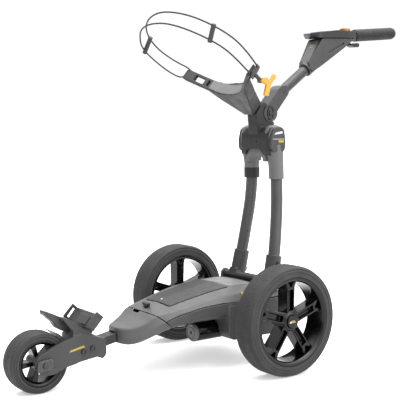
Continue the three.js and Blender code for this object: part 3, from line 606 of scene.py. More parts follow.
MOTOR_X, MOTOR_Z = 50, 97
can = [(10.6, -48), (10.6, -52), (21.5, -52), (21.5, -152), (25, -152), (25, -48)]
plain(
    "motor_can_shell", turned(soft_profile(can, 1.0), (MOTOR_X, 0, MOTOR_Z), (0, 1, 0), 72),
    "chassis", GLOSS, ["motor_can"]
)
cap = [
    (4.4, -162), (4.4, -152.3), (24.6, -152.3), (24.6, -158.5), (21.5, -162), (19, -162),
    (19, -160.6), (14, -160.6), (14, -162)
]
plain(
    "motor_cap_shell", turned(soft_profile(cap, 0.6), (MOTOR_X, 0, MOTOR_Z), (0, 1, 0), 72),
    "chassis", GREY, ["motor_end_cap"]
)
for name, x0, x1 in (("left", 50.15, 68), ("right", 32, 49.85)):
    room = [rod_x(0, 145, 40, 60, 42), box(40, 60, -42, 42, 87, 112)]
    moulded(
        f"gearbox_{name}_case", [rod_x(0, 145, x0, x1, 47, 72), box(x0, x1, -47, 47, 80.4, 145)],
        "chassis", CAST, [f"gearbox_{name}_half"], cuts=room + [rod_x(0, 145, 0, 100, 6.6)],
        voxel=1.1
    )
for name, x0, x1 in (("left", 68.3, 180), ("right", -180, 31.7)):
    pipe = [(12.3, x0), (16, x0), (16, x1), (12.3, x1)]
    plain(
        f"{name}_axle_housing", turned(soft_profile(pipe, 0.8), (0, 0, 145), (1, 0, 0), 64),
        "chassis", FRAME, [f"{name}_axle_tube"]
    )

# ---- body

# y; height and half width of bottom, side seam, shoulder and lid edge; height of the crown
SECTIONS = [
    [-376, 96, 8, 108, 14, 126, 14, 131, 9, 132], [-372, 93, 18, 108, 26, 128, 26, 133, 20, 133.5],
    [-362, 90, 30, 108, 40, 129, 39, 134, 33, 135],
    [-350, 88, 38, 108, 51, 130, 49, 135, 43, 136.5],
    [-332, 90, 46, 112, 62, 136, 58, 141, 50, 143], [-310, 97, 54, 124, 74, 147, 67, 151, 50, 153],
    [-287, 107, 62, 138, 84, 161, 74, 165, 52, 167],
    [-241, 124, 78, 155, 95, 171, 84, 177, 58, 181],
    [-200, 130, 86, 166, 103, 180, 92, 187, 61, 191],
    [-150, 135, 96, 175, 112, 190, 100, 197, 65, 201],
    [-100, 136, 104, 179, 120, 197, 107, 206, 69, 209],
    [-50, 136, 108, 179, 123, 202, 111, 212, 72, 214.5],
    [10, 136, 110, 179, 124, 204, 112, 213, 73, 215],
    [52, 136, 110, 178, 124, 202, 112, 208, 73, 210],
    [60, 136, 110, 177, 124, 196, 112, 199, 73, 200],
    [104, 136, 108, 172, 122, 190, 110, 194, 72, 195],
    [114, 140, 100, 165, 116, 182, 104, 186, 70, 187]
]
WALL, GAP = 3, 0.3


def eased(xs, ys, at):
    """Monotone cubic through the table, so that the rows join without a kink or an overshoot."""
    xs, ys = np.array(xs, float), np.array(ys, float)
    step = np.diff(xs)
    slope = np.diff(ys) / step
    m = np.zeros(len(xs))
    m[0], m[-1] = slope[0], slope[-1]
    for i in range(1, len(xs) - 1):
        if slope[i - 1] * slope[i] > 0:
            m[i] = 2 / (1 / slope[i - 1] + 1 / slope[i])
    k = np.clip(np.searchsorted(xs, at) - 1, 0, len(xs) - 2)
    t = (at - xs[k]) / step[k]
    return (
        (2 * t**3 - 3 * t**2 + 1) * ys[k]
        + (t**3 - 2 * t**2 + t) * step[k] * m[k]
        + (3 * t**2 - 2 * t**3) * ys[k + 1]
        + (t**3 - t**2) * step[k] * m[k + 1]
    )


def body_ring(section, inset):
    y, low, w_low, seam, w_seam, shoulder, w_shoulder, edge, w_edge, crown = section
    half = [
        (w_low - inset, low + inset, 6), (w_seam - 3 - inset, low + 12 + inset, 6),
        (w_seam - inset, seam, 2), (w_shoulder - inset, shoulder - inset * 0.7, 2.5),
        (w_edge - inset * 0.5, edge - inset, 2.5)
    ]
    ring = [(0, low + inset, 0), *half, (0, crown - inset, 0)]
    ring += [(-x, z, r) for x, z, r in reversed(half)]
    return [(x, y, z) for x, z in rounded(ring, 0, 3)]


def body_form(inset):
    ys = [row[0] for row in SECTIONS]
    at = sorted(set(ys) | set(np.arange(ys[0] + 4, 50, 6.0)))
    table = []
    for y in at:
        row = [y]
        for c in range(1, 10):
            row.append(float(eased(ys, [s[c] for s in SECTIONS], y)))
        table.append(row)
    table[0][0] += inset
    table[-1][0] -= inset
    return loft([body_ring(row, inset) for row in table])


NOSE_SEAM = [[-420, 40], [-420, 260], [-400.6, 260], [-287, 161], [-241, 124], [-146, 40]]
SIDE_SEAM = [
    [-420, 60], [-420, 60.5], [-262, 148], [-227, 160], [-165, 173.5], [-110, 179], [-60, 178.5],
    [120, 177.5], [120, 60]
]
LID_PLAN = [[-58, -238], [58, -238], [72, -51], [-72, -51]]


def nudge(points, dy, dz):
    return [[y + dy, z + dz] for y, z in points]


def sump(inset):
    """Housing for motor and gearbox below the body; its left part reaches further forward."""
    top, rear, bottom = (164 if inset else 170), 100 - inset, 77 + inset
    forms = []
    for x0, x1, y0 in ((-40, 123, -88), (-123, 123, -28)):
        front = y0 + inset
        side = [[front, top, 0], [front, bottom + 16], [front + 14, bottom]]
        side += [[rear - 3, bottom, 0], [rear, bottom + 3, 0], [rear, top, 0]]
        forms.append(plate_x(side, x0 + inset, x1 - inset, 6))
    return forms


SEAM_GROOVE = 0.5
LID_STEP = 1.8


def body():
    outer, inner = body_form(0), body_form(WALL)
    nose = plate_x(nudge(NOSE_SEAM, -SEAM_GROOVE, -SEAM_GROOVE), -200, 200)
    nose_grown = plate_x(nudge(NOSE_SEAM, GAP, GAP), -200, 200)
    lower = plate_x(nudge(SIDE_SEAM, 0, -SEAM_GROOVE), -200, 200)
    lower_grown = plate_x(nudge(SIDE_SEAM, 0, GAP), -200, 200)
    bar = plate_x([[-450, 81], [-350, 99], [-350, 124.6], [-450, 106.6]], -18.4, 18.4)
    moulded(
        "nose_shell", [outer], "chassis", BODY, ["nose_cover"],
        cuts=[inner, bar, plate_z([[-30, -304], [0, -304], [0, -284], [-30, -284]], 159, 190, 2)],
        within=[nose], voxel=1.3, keep=0.4
    )
    lid_cut = plate_z(LID_PLAN, 150, 260, 8)
    stem = rod((0, -266, 157), (0, -274, 187), 6.2)
    moulded(
        "upper_shell_skin", [outer], "chassis", BODY, ["upper_shell"],
        cuts=[inner, nose_grown, lower_grown, lid_cut, stem], voxel=1.6, keep=0.4
    )
    lid_plan = [[x - math.copysign(0.8, x), y + (0.8 if y < -100 else -0.5)] for x, y in LID_PLAN]
    moulded(
        "battery_lid_skin", [shifted(outer, z=LID_STEP)], "lid", LID, ["battery_lid"],
        cuts=[inner], within=[plate_z(lid_plan, 150, 260, 8)], voxel=1.4, keep=0.4
    )
    motor = rod((MOTOR_X, -170, MOTOR_Z), (MOTOR_X, -40, MOTOR_Z), 25.3)
    moulded(
        "chassis_tray_skin", [outer, *sump(0)], "chassis", BODY_DARK, ["chassis_tray"],
        cuts=[inner, *sump(WALL), nose_grown, motor, rod_x(0, 145, -200, 200, 16.3)],
        within=[lower], voxel=1.6, keep=0.4
    )
    moulded(
        "rear_deck_panel", [shifted(outer, z=0.9)], "chassis", BODY_LIGHT,
        cuts=[shifted(outer, z=-1.6)],
        within=[plate_z([[-62, -46], [62, -46], [64, 44], [-64, 44]], 190, 260, 12)], voxel=0.9
    )
    plain("nose_slot_floor", box(-31, 1, -305, -283, 148, 153), "chassis", BODY_DARK, bevel=0.5)
    dot = soft_profile([(0, 0), (3, 0), (3, 3), (0, 3)], 0.4)
    plain("lid_dot", turned(dot, (0, -222, 185), (0, -0.25, 0.97), 28), "lid", WHITE)
    stripe = [
        [(111.6, y, 203), (122.6, y, 182), (123.8, y, 182.6), (112.8, y, 203.6)]
        for y in (-42, -34)
    ]
    plain("shell_side_stripe", loft(stripe), "chassis", MARK_YELLOW)


body()

# ---- front end

BOLTS = (("fork_bolt_front", -484, 93), ("fork_bolt_rear", -459, 97.5))
bolt_holes = [rod_x(y, z, -60, 60, 4.3) for _, y, z in BOLTS]
FRONT_BAR = [[-446, 82.3], [-292, 109.9], [-292, 134.3], [-446, 106.7]]
FORK_ARM = [
    [-616, 80], [-606, 99], [-543, 124], [-508, 134], [-498, 130], [-498, 66], [-530, 61],
    [-566, 48], [-590, 49], [-612, 62]
]
FORK_BLOCK = [
    [-509, 66], [-509, 134], [-490, 137], [-446, 126], [-421, 116], [-419, 78], [-430, 67],
    [-446, 74], [-480, 70]
]
FORK_NECK = [
    [-511, 110], [-510, 147], [-534, 174], [-528, 182], [-486, 152], [-446, 127], [-446, 100]
]
moulded(
    "front_fork_cast",
    [
        plate_x(FORK_ARM, 34, 46, 6), plate_x(FORK_BLOCK, -23, 46, 3),
        plate_x(FORK_NECK, 14.6, 40, 3)
    ],
    "chassis", MECHANISM, ["front_fork"],
    cuts=[
        plate_x([[-447, 81.4], [-400, 89.8], [-400, 116], [-447, 107.4]], -18.4, 18.4),
        rod_x(*FRONT_HUB, 30, 60, 5.4), rod_x(-564, 65, 44.2, 60, 3.2),
        plate_x([[-604, 86], [-560, 107], [-560, 104.5], [-604, 83.5]], 45.2, 50), *bolt_holes
    ],
    voxel=1.0
)
for name, y, z in BOLTS:
    head = soft_profile([(0, 46.3), (7.2, 46.3), (7.2, 50), (4, 50), (3.4, 48), (0, 48)], 0.4)
    plain(
        f"{name}_head",
        joined(turned(head, (0, y, z), (1, 0, 0), 32), rod_x(y, z, -24, 46.4, 4, 24)), "chassis",
        DARK_STEEL, [name]
    )
y, z = FRONT_HUB
moulded(
    "tracking_adjuster_knob",
    [
        plate_x(
            [[y - 21, z - 16], [y + 19, z - 12], [y + 21, z + 15], [y - 19, z + 11]], 46.3, 54, 7
        )
    ],
    "chassis", BODY_DARK, ["tracking_adjuster"],
    cuts=[
        rod_x(*FRONT_HUB, 40, 60, 5.6),
        turned([(13, 52.8), (16, 52.8), (16, 60), (13, 60)], (0, *FRONT_HUB), (1, 0, 0))
    ],
    voxel=0.8
)
plain(
    "front_axle_bolt_body",
    joined(
        rod_x(*FRONT_HUB, -36, 57, 5, 32), rod_x(*FRONT_HUB, -38, -33, 9, HEX),
        rod_x(*FRONT_HUB, 54.3, 58, 7, HEX)
    ),
    "chassis", DARK_STEEL, ["front_axle_bolt"], bevel=0.5
)
guard = []
for r, angles in ((79.6, range(5, 61, 2)), (82, range(59, 4, -2))):
    for angle in angles:
        a = math.radians(angle)
        guard.append([y + r * math.cos(a), z + r * math.sin(a)])
moulded(
    "front_mudguard_arc", [plate_x(guard, -34, 33.6)], "chassis", MECHANISM, ["front_mudguard"],
    voxel=0.8, smooth=3
)
moulded(
    "front_bar_tube", [plate_x(FRONT_BAR, -18, 18)], "chassis", BAR, ["front_bar"],
    cuts=[bolt_holes[1]], voxel=1.2
)
STRIPE = [[-524, 96], [-521, 101.5], [-484, 109], [-481, 103.5]]
plain("fork_stripe", plate_x(STRIPE, 45.7, 46.2, 1), "chassis", MARK_YELLOW)

EAR = [[-466.6, 145], [-471, 149], [-485, 163], [-456, 193], [-437.6, 177]]
EAR_SLOT = [[-473, 162], [-468, 157], [-450, 177], [-455, 182]]
moulded(
    "lower_cradle_body",
    [
        plate_x([[-471, 149], [-442, 181], [-437.6, 177], [-466.6, 145]], -65, 65),
        plate_x(EAR, -65, -61, 3), plate_x(EAR, 61, 65, 3),
        plate_x([[-471.5, 156], [-466, 151], [-448, 171], [-453.5, 176]], -26, 26, 1),
        plate_x(
            [[-468, 146], [-444, 172], [-432, 160], [-441, 127], [-447, 128], [-468, 133]], -13, 13
        )
    ],
    "chassis", MECHANISM, ["lower_cradle"],
    cuts=[plate_x(EAR_SLOT, -66, -60, 1), plate_x(EAR_SLOT, 60, 66, 1)], voxel=0.9, smooth=3
)
TOE = [
    [-476, 152], [-519, 175], [-556, 193], [-573, 200, 4], [-575, 191, 5], [-549, 168],
    [-537, 151], [-515, 139], [-486, 139], [-474, 144]
]
moulded(
    "cradle_toe_fin", [plate_x(TOE, -14, 14, 2)], "chassis", MECHANISM, ["cradle_toe"], voxel=0.9
)

# ---- folding frame

BASE = 84, 215
TUBE_PATH = [
    [73.2, 104, 258], [72.1, 110, 285], [66.5, 121, 355], [59.5, 130, 430], [54.4, 132.5, 499],
    [52.6, 132, 535]
]


def tube_path(side, extra=0.0):
    points = [[side * x, y, z] for x, y, z in TUBE_PATH]
    points[0] = [side * (73.2 + extra * 0.05), 104 - extra * 0.2, 258 - extra]
    points[-1][2] += extra
    return points


sockets = [tube(tube_path(side, 0.4), 17.3) for side in (1, -1)]
for name, side in (("left", 1), ("right", -1)):
    plain(
        f"{name}_frame_tube_painted", tube(tube_path(side), 17, 56, 90), "folding_frame", FRAME,
        [f"{name}_frame_tube"]
    )
foot = [rod_x(*BASE, -112, 112, 11)]
for side in (1, -1):
    foot.append(rod((side * 74, 98.5, 224), (side * 72.1, 110.5, 285), 22.5, 22, 56))
    x0, x1 = (58, 90) if side > 0 else (-90, -58)
    gusset = [[84, 206], [93, 206], [119, 226], [120, 234], [78, 234], [75, 222]]
    foot.append(plate_x(gusset, x0, x1, 2))
moulded(
    "base_crossbar_body", foot, "folding_frame", MECHANISM, ["base_crossbar"],
    cuts=[*sockets, rod_x(*BASE, -120, 120, 4.3), rod_x(106, 263, 85, 100, 5.5)], voxel=1.2
)
plain(
    "frame_lock_cap",
    turned(
        soft_profile([(0, 93.4), (5, 93.4), (5, 99), (0, 99)], 1.2), (0, 106, 263), (1, 0, 0), 40
    ),
    "frame_lock", SATIN_BLACK, ["frame_lock_button"]
)
EAR_BASE = [[68, 201], [70, 219], [78, 227], [90, 227], [98, 219], [101, 201]]
moulded(
    "base_hinge_plate",
    [
        box(-122, 122, 66, 102, 200.6, 203.4), plate_x(EAR_BASE, -122, -112.6, 3),
        plate_x(EAR_BASE, 112.6, 122, 3)
    ],
    "chassis", MECHANISM, ["base_hinge_bracket"], cuts=[rod_x(*BASE, -130, 130, 4.3)], voxel=0.9,
    smooth=3
)
plain(
    "base_hinge_bolt", joined(rod_x(*BASE, -124, 124, 4, 32), rod_x(*BASE, 122.3, 126, 7, HEX)),
    "chassis", STEEL, ["base_hinge_pin"], bevel=0.4
)

HEAD = HEAD_Y, HEAD_Z = 138, 685
CLAMP_LEAN = 40.3


def at_lean(degrees, along, across):
    lean = math.radians(degrees)
    return [
        HEAD_Y + math.sin(lean) * along + math.cos(lean) * across,
        HEAD_Z + math.cos(lean) * along - math.sin(lean) * across
    ]


def at_clamp(along, across):
    return at_lean(CLAMP_LEAN, along, across)


# x, y, z and the radii along X and Y
LEG = [
    [54.4, 132.5, 499, 21.5, 21.5], [54, 131.5, 530, 21.5, 21.8], [53.3, 128.5, 562, 21.5, 25],
    [52, 124.5, 590, 22, 29], [52, 123, 616, 22, 30], [51.5, 123, 635, 20.5, 27],
    [50.5, 123, 646, 16, 20], [50, 123, 651, 8, 10]
]


def leg(side):
    zs = [row[2] for row in LEG]
    rings = []
    for z in sorted(set(zs) | set(np.arange(504, 651, 5.0))):
        cx, cy, rx, ry = (float(eased(zs, [row[c] for row in LEG], z)) for c in (0, 1, 3, 4))
        rings.append([(x, y, z) for x, y in ellipse(side * cx, cy, rx, ry, 56)])
    return loft(rings)


CROWN = [
    [93, 572], [98, 566], [148, 566], [151, 622, 12], [142, 646, 8], [104, 646, 8], [91, 622, 12]
]
COVER_PLAN = [[-55, 84], [62, 84], [66, 124], [48, 152], [-48, 152], [-66, 124]]
BADGE = [[104, 596], [142, 596], [146, 616, 14], [138, 634, 12], [108, 634, 12], [100, 616, 14]]
BADGE_CAP = [
    [98, 576, 14], [148, 576, 14], [151, 610, 16], [142, 646, 16], [106, 646, 16], [95, 610, 16]
]


def arch_form(half, foot, crown):
    outline = [[-half, foot], [half, foot], [half, crown - 12], [half - 11, crown]]
    outline += [[11 - half, crown], [-half, crown - 12]]
    return prism(rounded(outline, 8), 60, 160, lambda u, v, w: (u, w, v))


def yoke():
    web = plate_x([[101, 548], [148, 548], [149, 592], [100, 592]], -42, 42, 3)
    neck = plate_x(
        [[92, 626], [86, 683], [112, 716], [124, 712], [150, 690], [156, 660], [149, 626]], -20,
        20, 2
    )
    sweep = [at_clamp(-6, -25), at_clamp(130, -25), [300, 700]]
    sweep += [at_lean(111.3, 130, 18.6), at_lean(111.3, 0, 18.6)]
    tongue = plate_x([[112, 640], [112, 668], [124, 693], [140, 672], [138, 640]], -10.4, 10.4)
    sweep_cut = plate_x(sweep, -30, 30)
    recess = plate_x(BADGE, 71.6, 90, 6)
    moulded(
        "frame_yoke_legs", [leg(1), leg(-1)], "folding_frame", YOKE, ["frame_yoke"],
        cuts=[*sockets, recess, mirrored(recess)], voxel=1.2
    )
    moulded("yoke_arch", [web], "folding_frame", SEAT, cuts=[arch_form(30, 520, 571)], voxel=0.9)
    # The cover's dark colour holds painted shade of its front faces
    moulded(
        "yoke_cover", [plate_x(CROWN, -70, 70, 4), neck], "folding_frame", COVER_WITH_PAINTED_SHADE,
        within=[plate_z(COVER_PLAN, 500, 800, 22)],
        cuts=[
            sweep_cut, rod_x(*HEAD, -30, 30, 18.6, 56), arch_form(38, 540, 583),
            rod((14, 80, 604), (14, 96, 604), 2.2)
        ],
        voxel=1.0
    )
    moulded(
        "yoke_tongue", [tongue, rod_x(*HEAD, -10.4, 10.4, 16, 48)], "folding_frame", MECHANISM,
        cuts=[rod_x(*HEAD, -40, 40, 5.3)], voxel=0.9
    )
    # The collar takes the cover colour, painted shade included
    for part, material, low, high, radius in (
        ("collar", COVER_WITH_PAINTED_SHADE, 0, 29, 22.8), ("stub", SEAT, 30, 56, 22.3)
    ):
        ring = [(20.6, low), (radius, low), (radius, high), (20.6, high)]
        plain(
            f"right_leg_{part}",
            turned(soft_profile(ring, 0.6), (-54.4, 132.5, 499.4), (0.014, -0.032, 1), 56),
            "folding_frame", material
        )
    for name, side in (("left", 1), ("right", -1)):
        badge = plate_x(BADGE_CAP, 56, 73.5)
        moulded(
            f"{name}_badge_plate", [on_side(badge, side)], "folding_frame", MECHANISM,
            [f"{name}_yoke_badge"], voxel=0.8, slot="grey_plastic"
        )
        for part, material, outline in (
            ("white", WHITE, [[108, 624], [139, 628], [136, 634], [112, 630]]),
            ("line", WHITE, [[102, 611.3], [145, 611.3], [145, 612.6], [102, 612.6]]),
            ("yellow", MARK_YELLOW, [[124, 602], [142, 602], [142.5, 609], [122, 609]])
        ):
            mark = plate_x(outline, 73.4, 73.8, 0.6)
            plain(f"{name}_badge_{part}", on_side(mark, side), "folding_frame", material)
    plain(
        "head_pivot_body",
        joined(
            rod_x(*HEAD, -23, 23, 5, 32), rod_x(*HEAD, 20.9, 25, 8, HEX),
            rod_x(*HEAD, -25, -20.9, 8, HEX)
        ),
        "folding_frame", SATIN_BLACK, ["head_pivot_bolt"], bevel=0.5, slot="steel"
    )


yoke()

# ---- upper bag support

BAG_ORIGIN = Vector((0, 30, 738))
BAG = Vector((0, 0.65, 0.76)).normalized()
TO_BAG = Vector((1, 0, 0)).cross(BAG)
# x, front, back, lower and upper edge along the bag
SUPPORT = [
    [0, 12, -72.5, -15, 30], [20, 13.5, -72.5, -15, 30], [21, 13.6, -68, -15, 29],
    [40, 18, -36, -16, 24], [56, 26, -10, -17, 20], [70, 37, 14, -17, 18], [80, 45, 34, -17, 17],
    [140, 89.35, 79.2, -17, 17], [149, 93.5, 86, -15, 15]
]


def bag_point(x, along, out):
    p = BAG_ORIGIN + Vector((x, 0, 0)) + BAG * along + TO_BAG * out
    return tuple(p)


def cord_points(table, origin):
    across = Vector((0, -0.819, 0.574))
    return [tuple(Vector(origin) + Vector((x, 0, 0)) + across * v) for x, v in table]


UPPER_CORD = [
    [-146, -8], [-149, 16], [-164, 35], [-179, 66], [-186, 98], [-178, 138], [-155, 175],
    [-110, 210], [-55, 231], [0, 237], [50, 227], [95, 205], [130, 173], [154, 138], [166, 100],
    [164, 60], [158, 30], [147, -8]
]
LOWER_CORD = [
    [-142, -5.5], [-150, -1.5], [-168, -1], [-182, 9], [-195, 35], [-201, 75], [-199, 112],
    [-185, 145], [-155, 174], [-115, 202], [-70, 217], [-20, 220], [25, 212], [64, 192],
    [100, 162], [128, 128], [144, 95], [148, 55], [144, -1]
]
CORDS = (
    ("strap_cord_upper", UPPER_CORD, (0, -22, 808)),
    ("strap_cord_lower", LOWER_CORD, (0, -45, 790))
)
CORD_R = 2.2
cord_bores = [tube(cord_points(t, o), 2.5, 16, 200) for _, t, o in CORDS]


def window(side, x0, x1, t0, t1):
    def corners(x, t):
        h = 45 + (x - 80) * 0.74
        return [bag_point(side * x, t, h + 20), bag_point(side * x, t, h - 30)]

    a, b = corners(x0, t0)
    c, d = corners(x0, t1)
    e, f = corners(x1, t0)
    g, k = corners(x1, t1)
    return loft([[a, c, d, b], [e, g, k, f]])


def support_ring(row, side):
    x, front, rear, low, high = row
    return [
        bag_point(side * x, low, front), bag_point(side * x, high, front),
        bag_point(side * x, high, rear), bag_point(side * x, low, rear)
    ]


def support():
    rows = [support_ring(r, -1) for r in reversed(SUPPORT[1:])]
    rows += [support_ring(r, 1) for r in SUPPORT]
    openings = []
    for side in (1, -1):
        openings += [window(side, 95, 121, -9, 9), window(side, 81, 87, -9, 9)]
    moulded(
        "upper_cradle_body", [loft(rows)], "folding_frame", CRADLE, ["upper_cradle"],
        cuts=openings + cord_bores, voxel=1.1, smooth=3
    )
    pad = []
    fronts = [row[:2] for row in SUPPORT if row[0] < 90]
    for x in range(-76, 77, 4):
        front = float(np.interp(abs(x), *zip(*fronts)))
        pad.append(
            [
                bag_point(x, -13, front + 0.6),
                bag_point(x, 16 if abs(x) > 60 else 21, front + 0.6),
                bag_point(x, 16 if abs(x) > 60 else 21, front - 3), bag_point(x, -13, front - 3)
            ]
        )
    moulded("cradle_seat_pad", [loft(pad)], "folding_frame", SEAT, voxel=0.7, smooth=3)


def cord_piece(name, table, origin):
    points = spline(cord_points(table, origin), 17 * 8)
    curve = bpy.data.curves.new(f"{name}_braid", "CURVE")
    curve.dimensions = "3D"
    curve.bevel_depth = CORD_R * MM
    curve.bevel_resolution = 4
    line = curve.splines.new("POLY")
    line.points.add(len(points) - 1)
    for point, place in zip(line.points, points):
        point.co = (*[c * MM for c in place], 1)
    line.use_smooth = True
    curve.use_fill_caps = True
    curve.materials.append(CORD)
    obj = bpy.data.objects.new(f"{name}_braid", curve)
    scene.collection.objects.link(obj)
    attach(obj, "folding_frame")
    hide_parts(name)


support()
for row in CORDS:
    cord_piece(*row)
for name, a, b in (("left", [138, 161], [124, 133]), ("right", [-173, 148], [-198, 121])):
    start = Vector(cord_points([a], CORDS[0][2])[0])
    end = Vector(cord_points([b], CORDS[1][2])[0])
    along = (end - start).normalized()
    length = (end - start).length + 12
    profile = [(0, 0), (6.4, 0), (6.4, length), (0, length)]
    plain(
        f"{name}_spacer_sleeve",
        turned(soft_profile(profile, 1.4, 4), start - along * 6, along, 32), "folding_frame",
        MECHANISM, [f"{name}_strap_spacer"], slot="cord"
    )

HOOK = 10, 769


def buckle_ring(x):
    rear = 86 - (149 - x) * 0.7536
    return [
        bag_point(x, -4, rear - GAP), bag_point(x, 26, rear - GAP), bag_point(x, 26, rear - 14),
        bag_point(x, -4, rear - 14)
    ]


moulded(
    "strap_buckle_body",
    [
        loft([buckle_ring(124), buckle_ring(147)]), rod(bag_point(128, 10, 60), (128, *HOOK), 5.4),
        rod_x(*HOOK, 122, 134, 7)
    ],
    "folding_frame", MECHANISM, ["strap_buckle"], cuts=[*cord_bores, rod_x(*HOOK, 100, 150, 2.8)],
    voxel=0.8, smooth=3
)
FORK_HOOK = [
    [3, 766], [8, 776], [22, 778], [31, 768], [46, 788, 3], [56, 780, 3], [37, 758], [27, 727, 3],
    [13, 730, 3], [21, 758]
]
moulded(
    "strap_hook_body", [plate_x(FORK_HOOK, 134.4, 142, 2), rod_x(*HOOK, 121, 136, 2.5)], "hook",
    YELLOW, ["strap_hook"], voxel=0.7
)

# ---- handle

SHAFT_FROM, SHAFT_TO = (0, 187, 740.2), (0, 316, 833.3)
SHAFT_R = 15.5
arm = [at_clamp(-6, 15.9), at_clamp(8, 17), at_clamp(86, 17), at_clamp(101, 9)]
arm += [at_clamp(99, -9), at_clamp(87, -19), at_clamp(70, -23), at_clamp(8, -23)]
arm += [at_clamp(-2, -16.9)]
ring_cut = turned([(10, 19.4), (13, 19.4), (13, 25), (10, 25)], (0, *HEAD), (1, 0, 0), 56)
moulded(
    "handle_clamp_body", [plate_x(arm, -20.5, 20.5, 3), rod_x(*HEAD, -20.5, 20.5, 17, 56)],
    "handle", SHAFT, ["handle_clamp"],
    cuts=[
        box(-10.8, 10.8, HEAD_Y - 40, HEAD_Y + 90, HEAD_Z - 40, HEAD_Z + 21),
        rod_x(*HEAD, -40, 40, 5.3), rod(SHAFT_FROM, SHAFT_TO, SHAFT_R + GAP), ring_cut,
        mirrored(ring_cut)
    ],
    voxel=1.0
)
for name, side in (("left", 1), ("right", -1)):
    cheek = turned(
        soft_profile([(5.8, 0), (24.5, 0), (24.5, 1.8), (21, 1.8), (20, 1), (5.8, 1)], 0.4),
        (side * 20.4, *HEAD), (side, 0, 0), 56
    )
    plain(f"{name}_head_cheek", cheek, "handle", SHAFT)
    ring = on_side(plate_x(ellipse(*HEAD, 12.5, 20.5, 48), 21.2, 23.4), side)
    hole = on_side(plate_x(ellipse(*HEAD, 8.5, 15, 48), 20, 25), side)
    moulded(f"{name}_head_ring", [ring], "handle", SATIN_BLACK, cuts=[hole], voxel=0.6, smooth=2)
    screw = [(0, 0), (4.2, 0), (4.2, 0.9), (0, 0.9)]
    plain(
        f"{name}_clamp_screw", turned(screw, (side * 20.3, *at_clamp(80, 1)), (side, 0, 0), 24),
        "handle", SATIN_BLACK, slot="steel"
    )
shaft_line = np.subtract(SHAFT_TO, (0, 187.4, 740.5))
length = float(np.linalg.norm(shaft_line))
plain(
    "handle_shaft_tube",
    turned(
        [(13.5, 0), (15.5, 0), (15.5, length), (13.5, length)], (0, 187.4, 740.5), shaft_line, 64
    ),
    "handle", BAR, ["handle_shaft"]
)
CONSOLE_SIDE = [
    [283, 831], [330, 906], [470, 914.3], [484, 912], [480, 908], [456, 904], [309, 814],
    [298, 805], [292, 812]
]
CONSOLE_PLAN = [
    [-20, 275], [20, 275], [30, 326], [31, 420], [17, 490], [-17, 490], [-31, 420], [-30, 326]
]
PANEL_SIDE = [[293, 917], [318, 906.6], [470, 915.2], [474, 934], [386, 933], [300, 921]]
PANEL_PLAN = [
    [-16, 294], [16, 294], [32, 318], [35, 345], [36, 430], [27, 476], [-27, 476], [-36, 430],
    [-35, 345], [-32, 318]
]
DIAL_Y, DIAL_Z = 452, 934.4


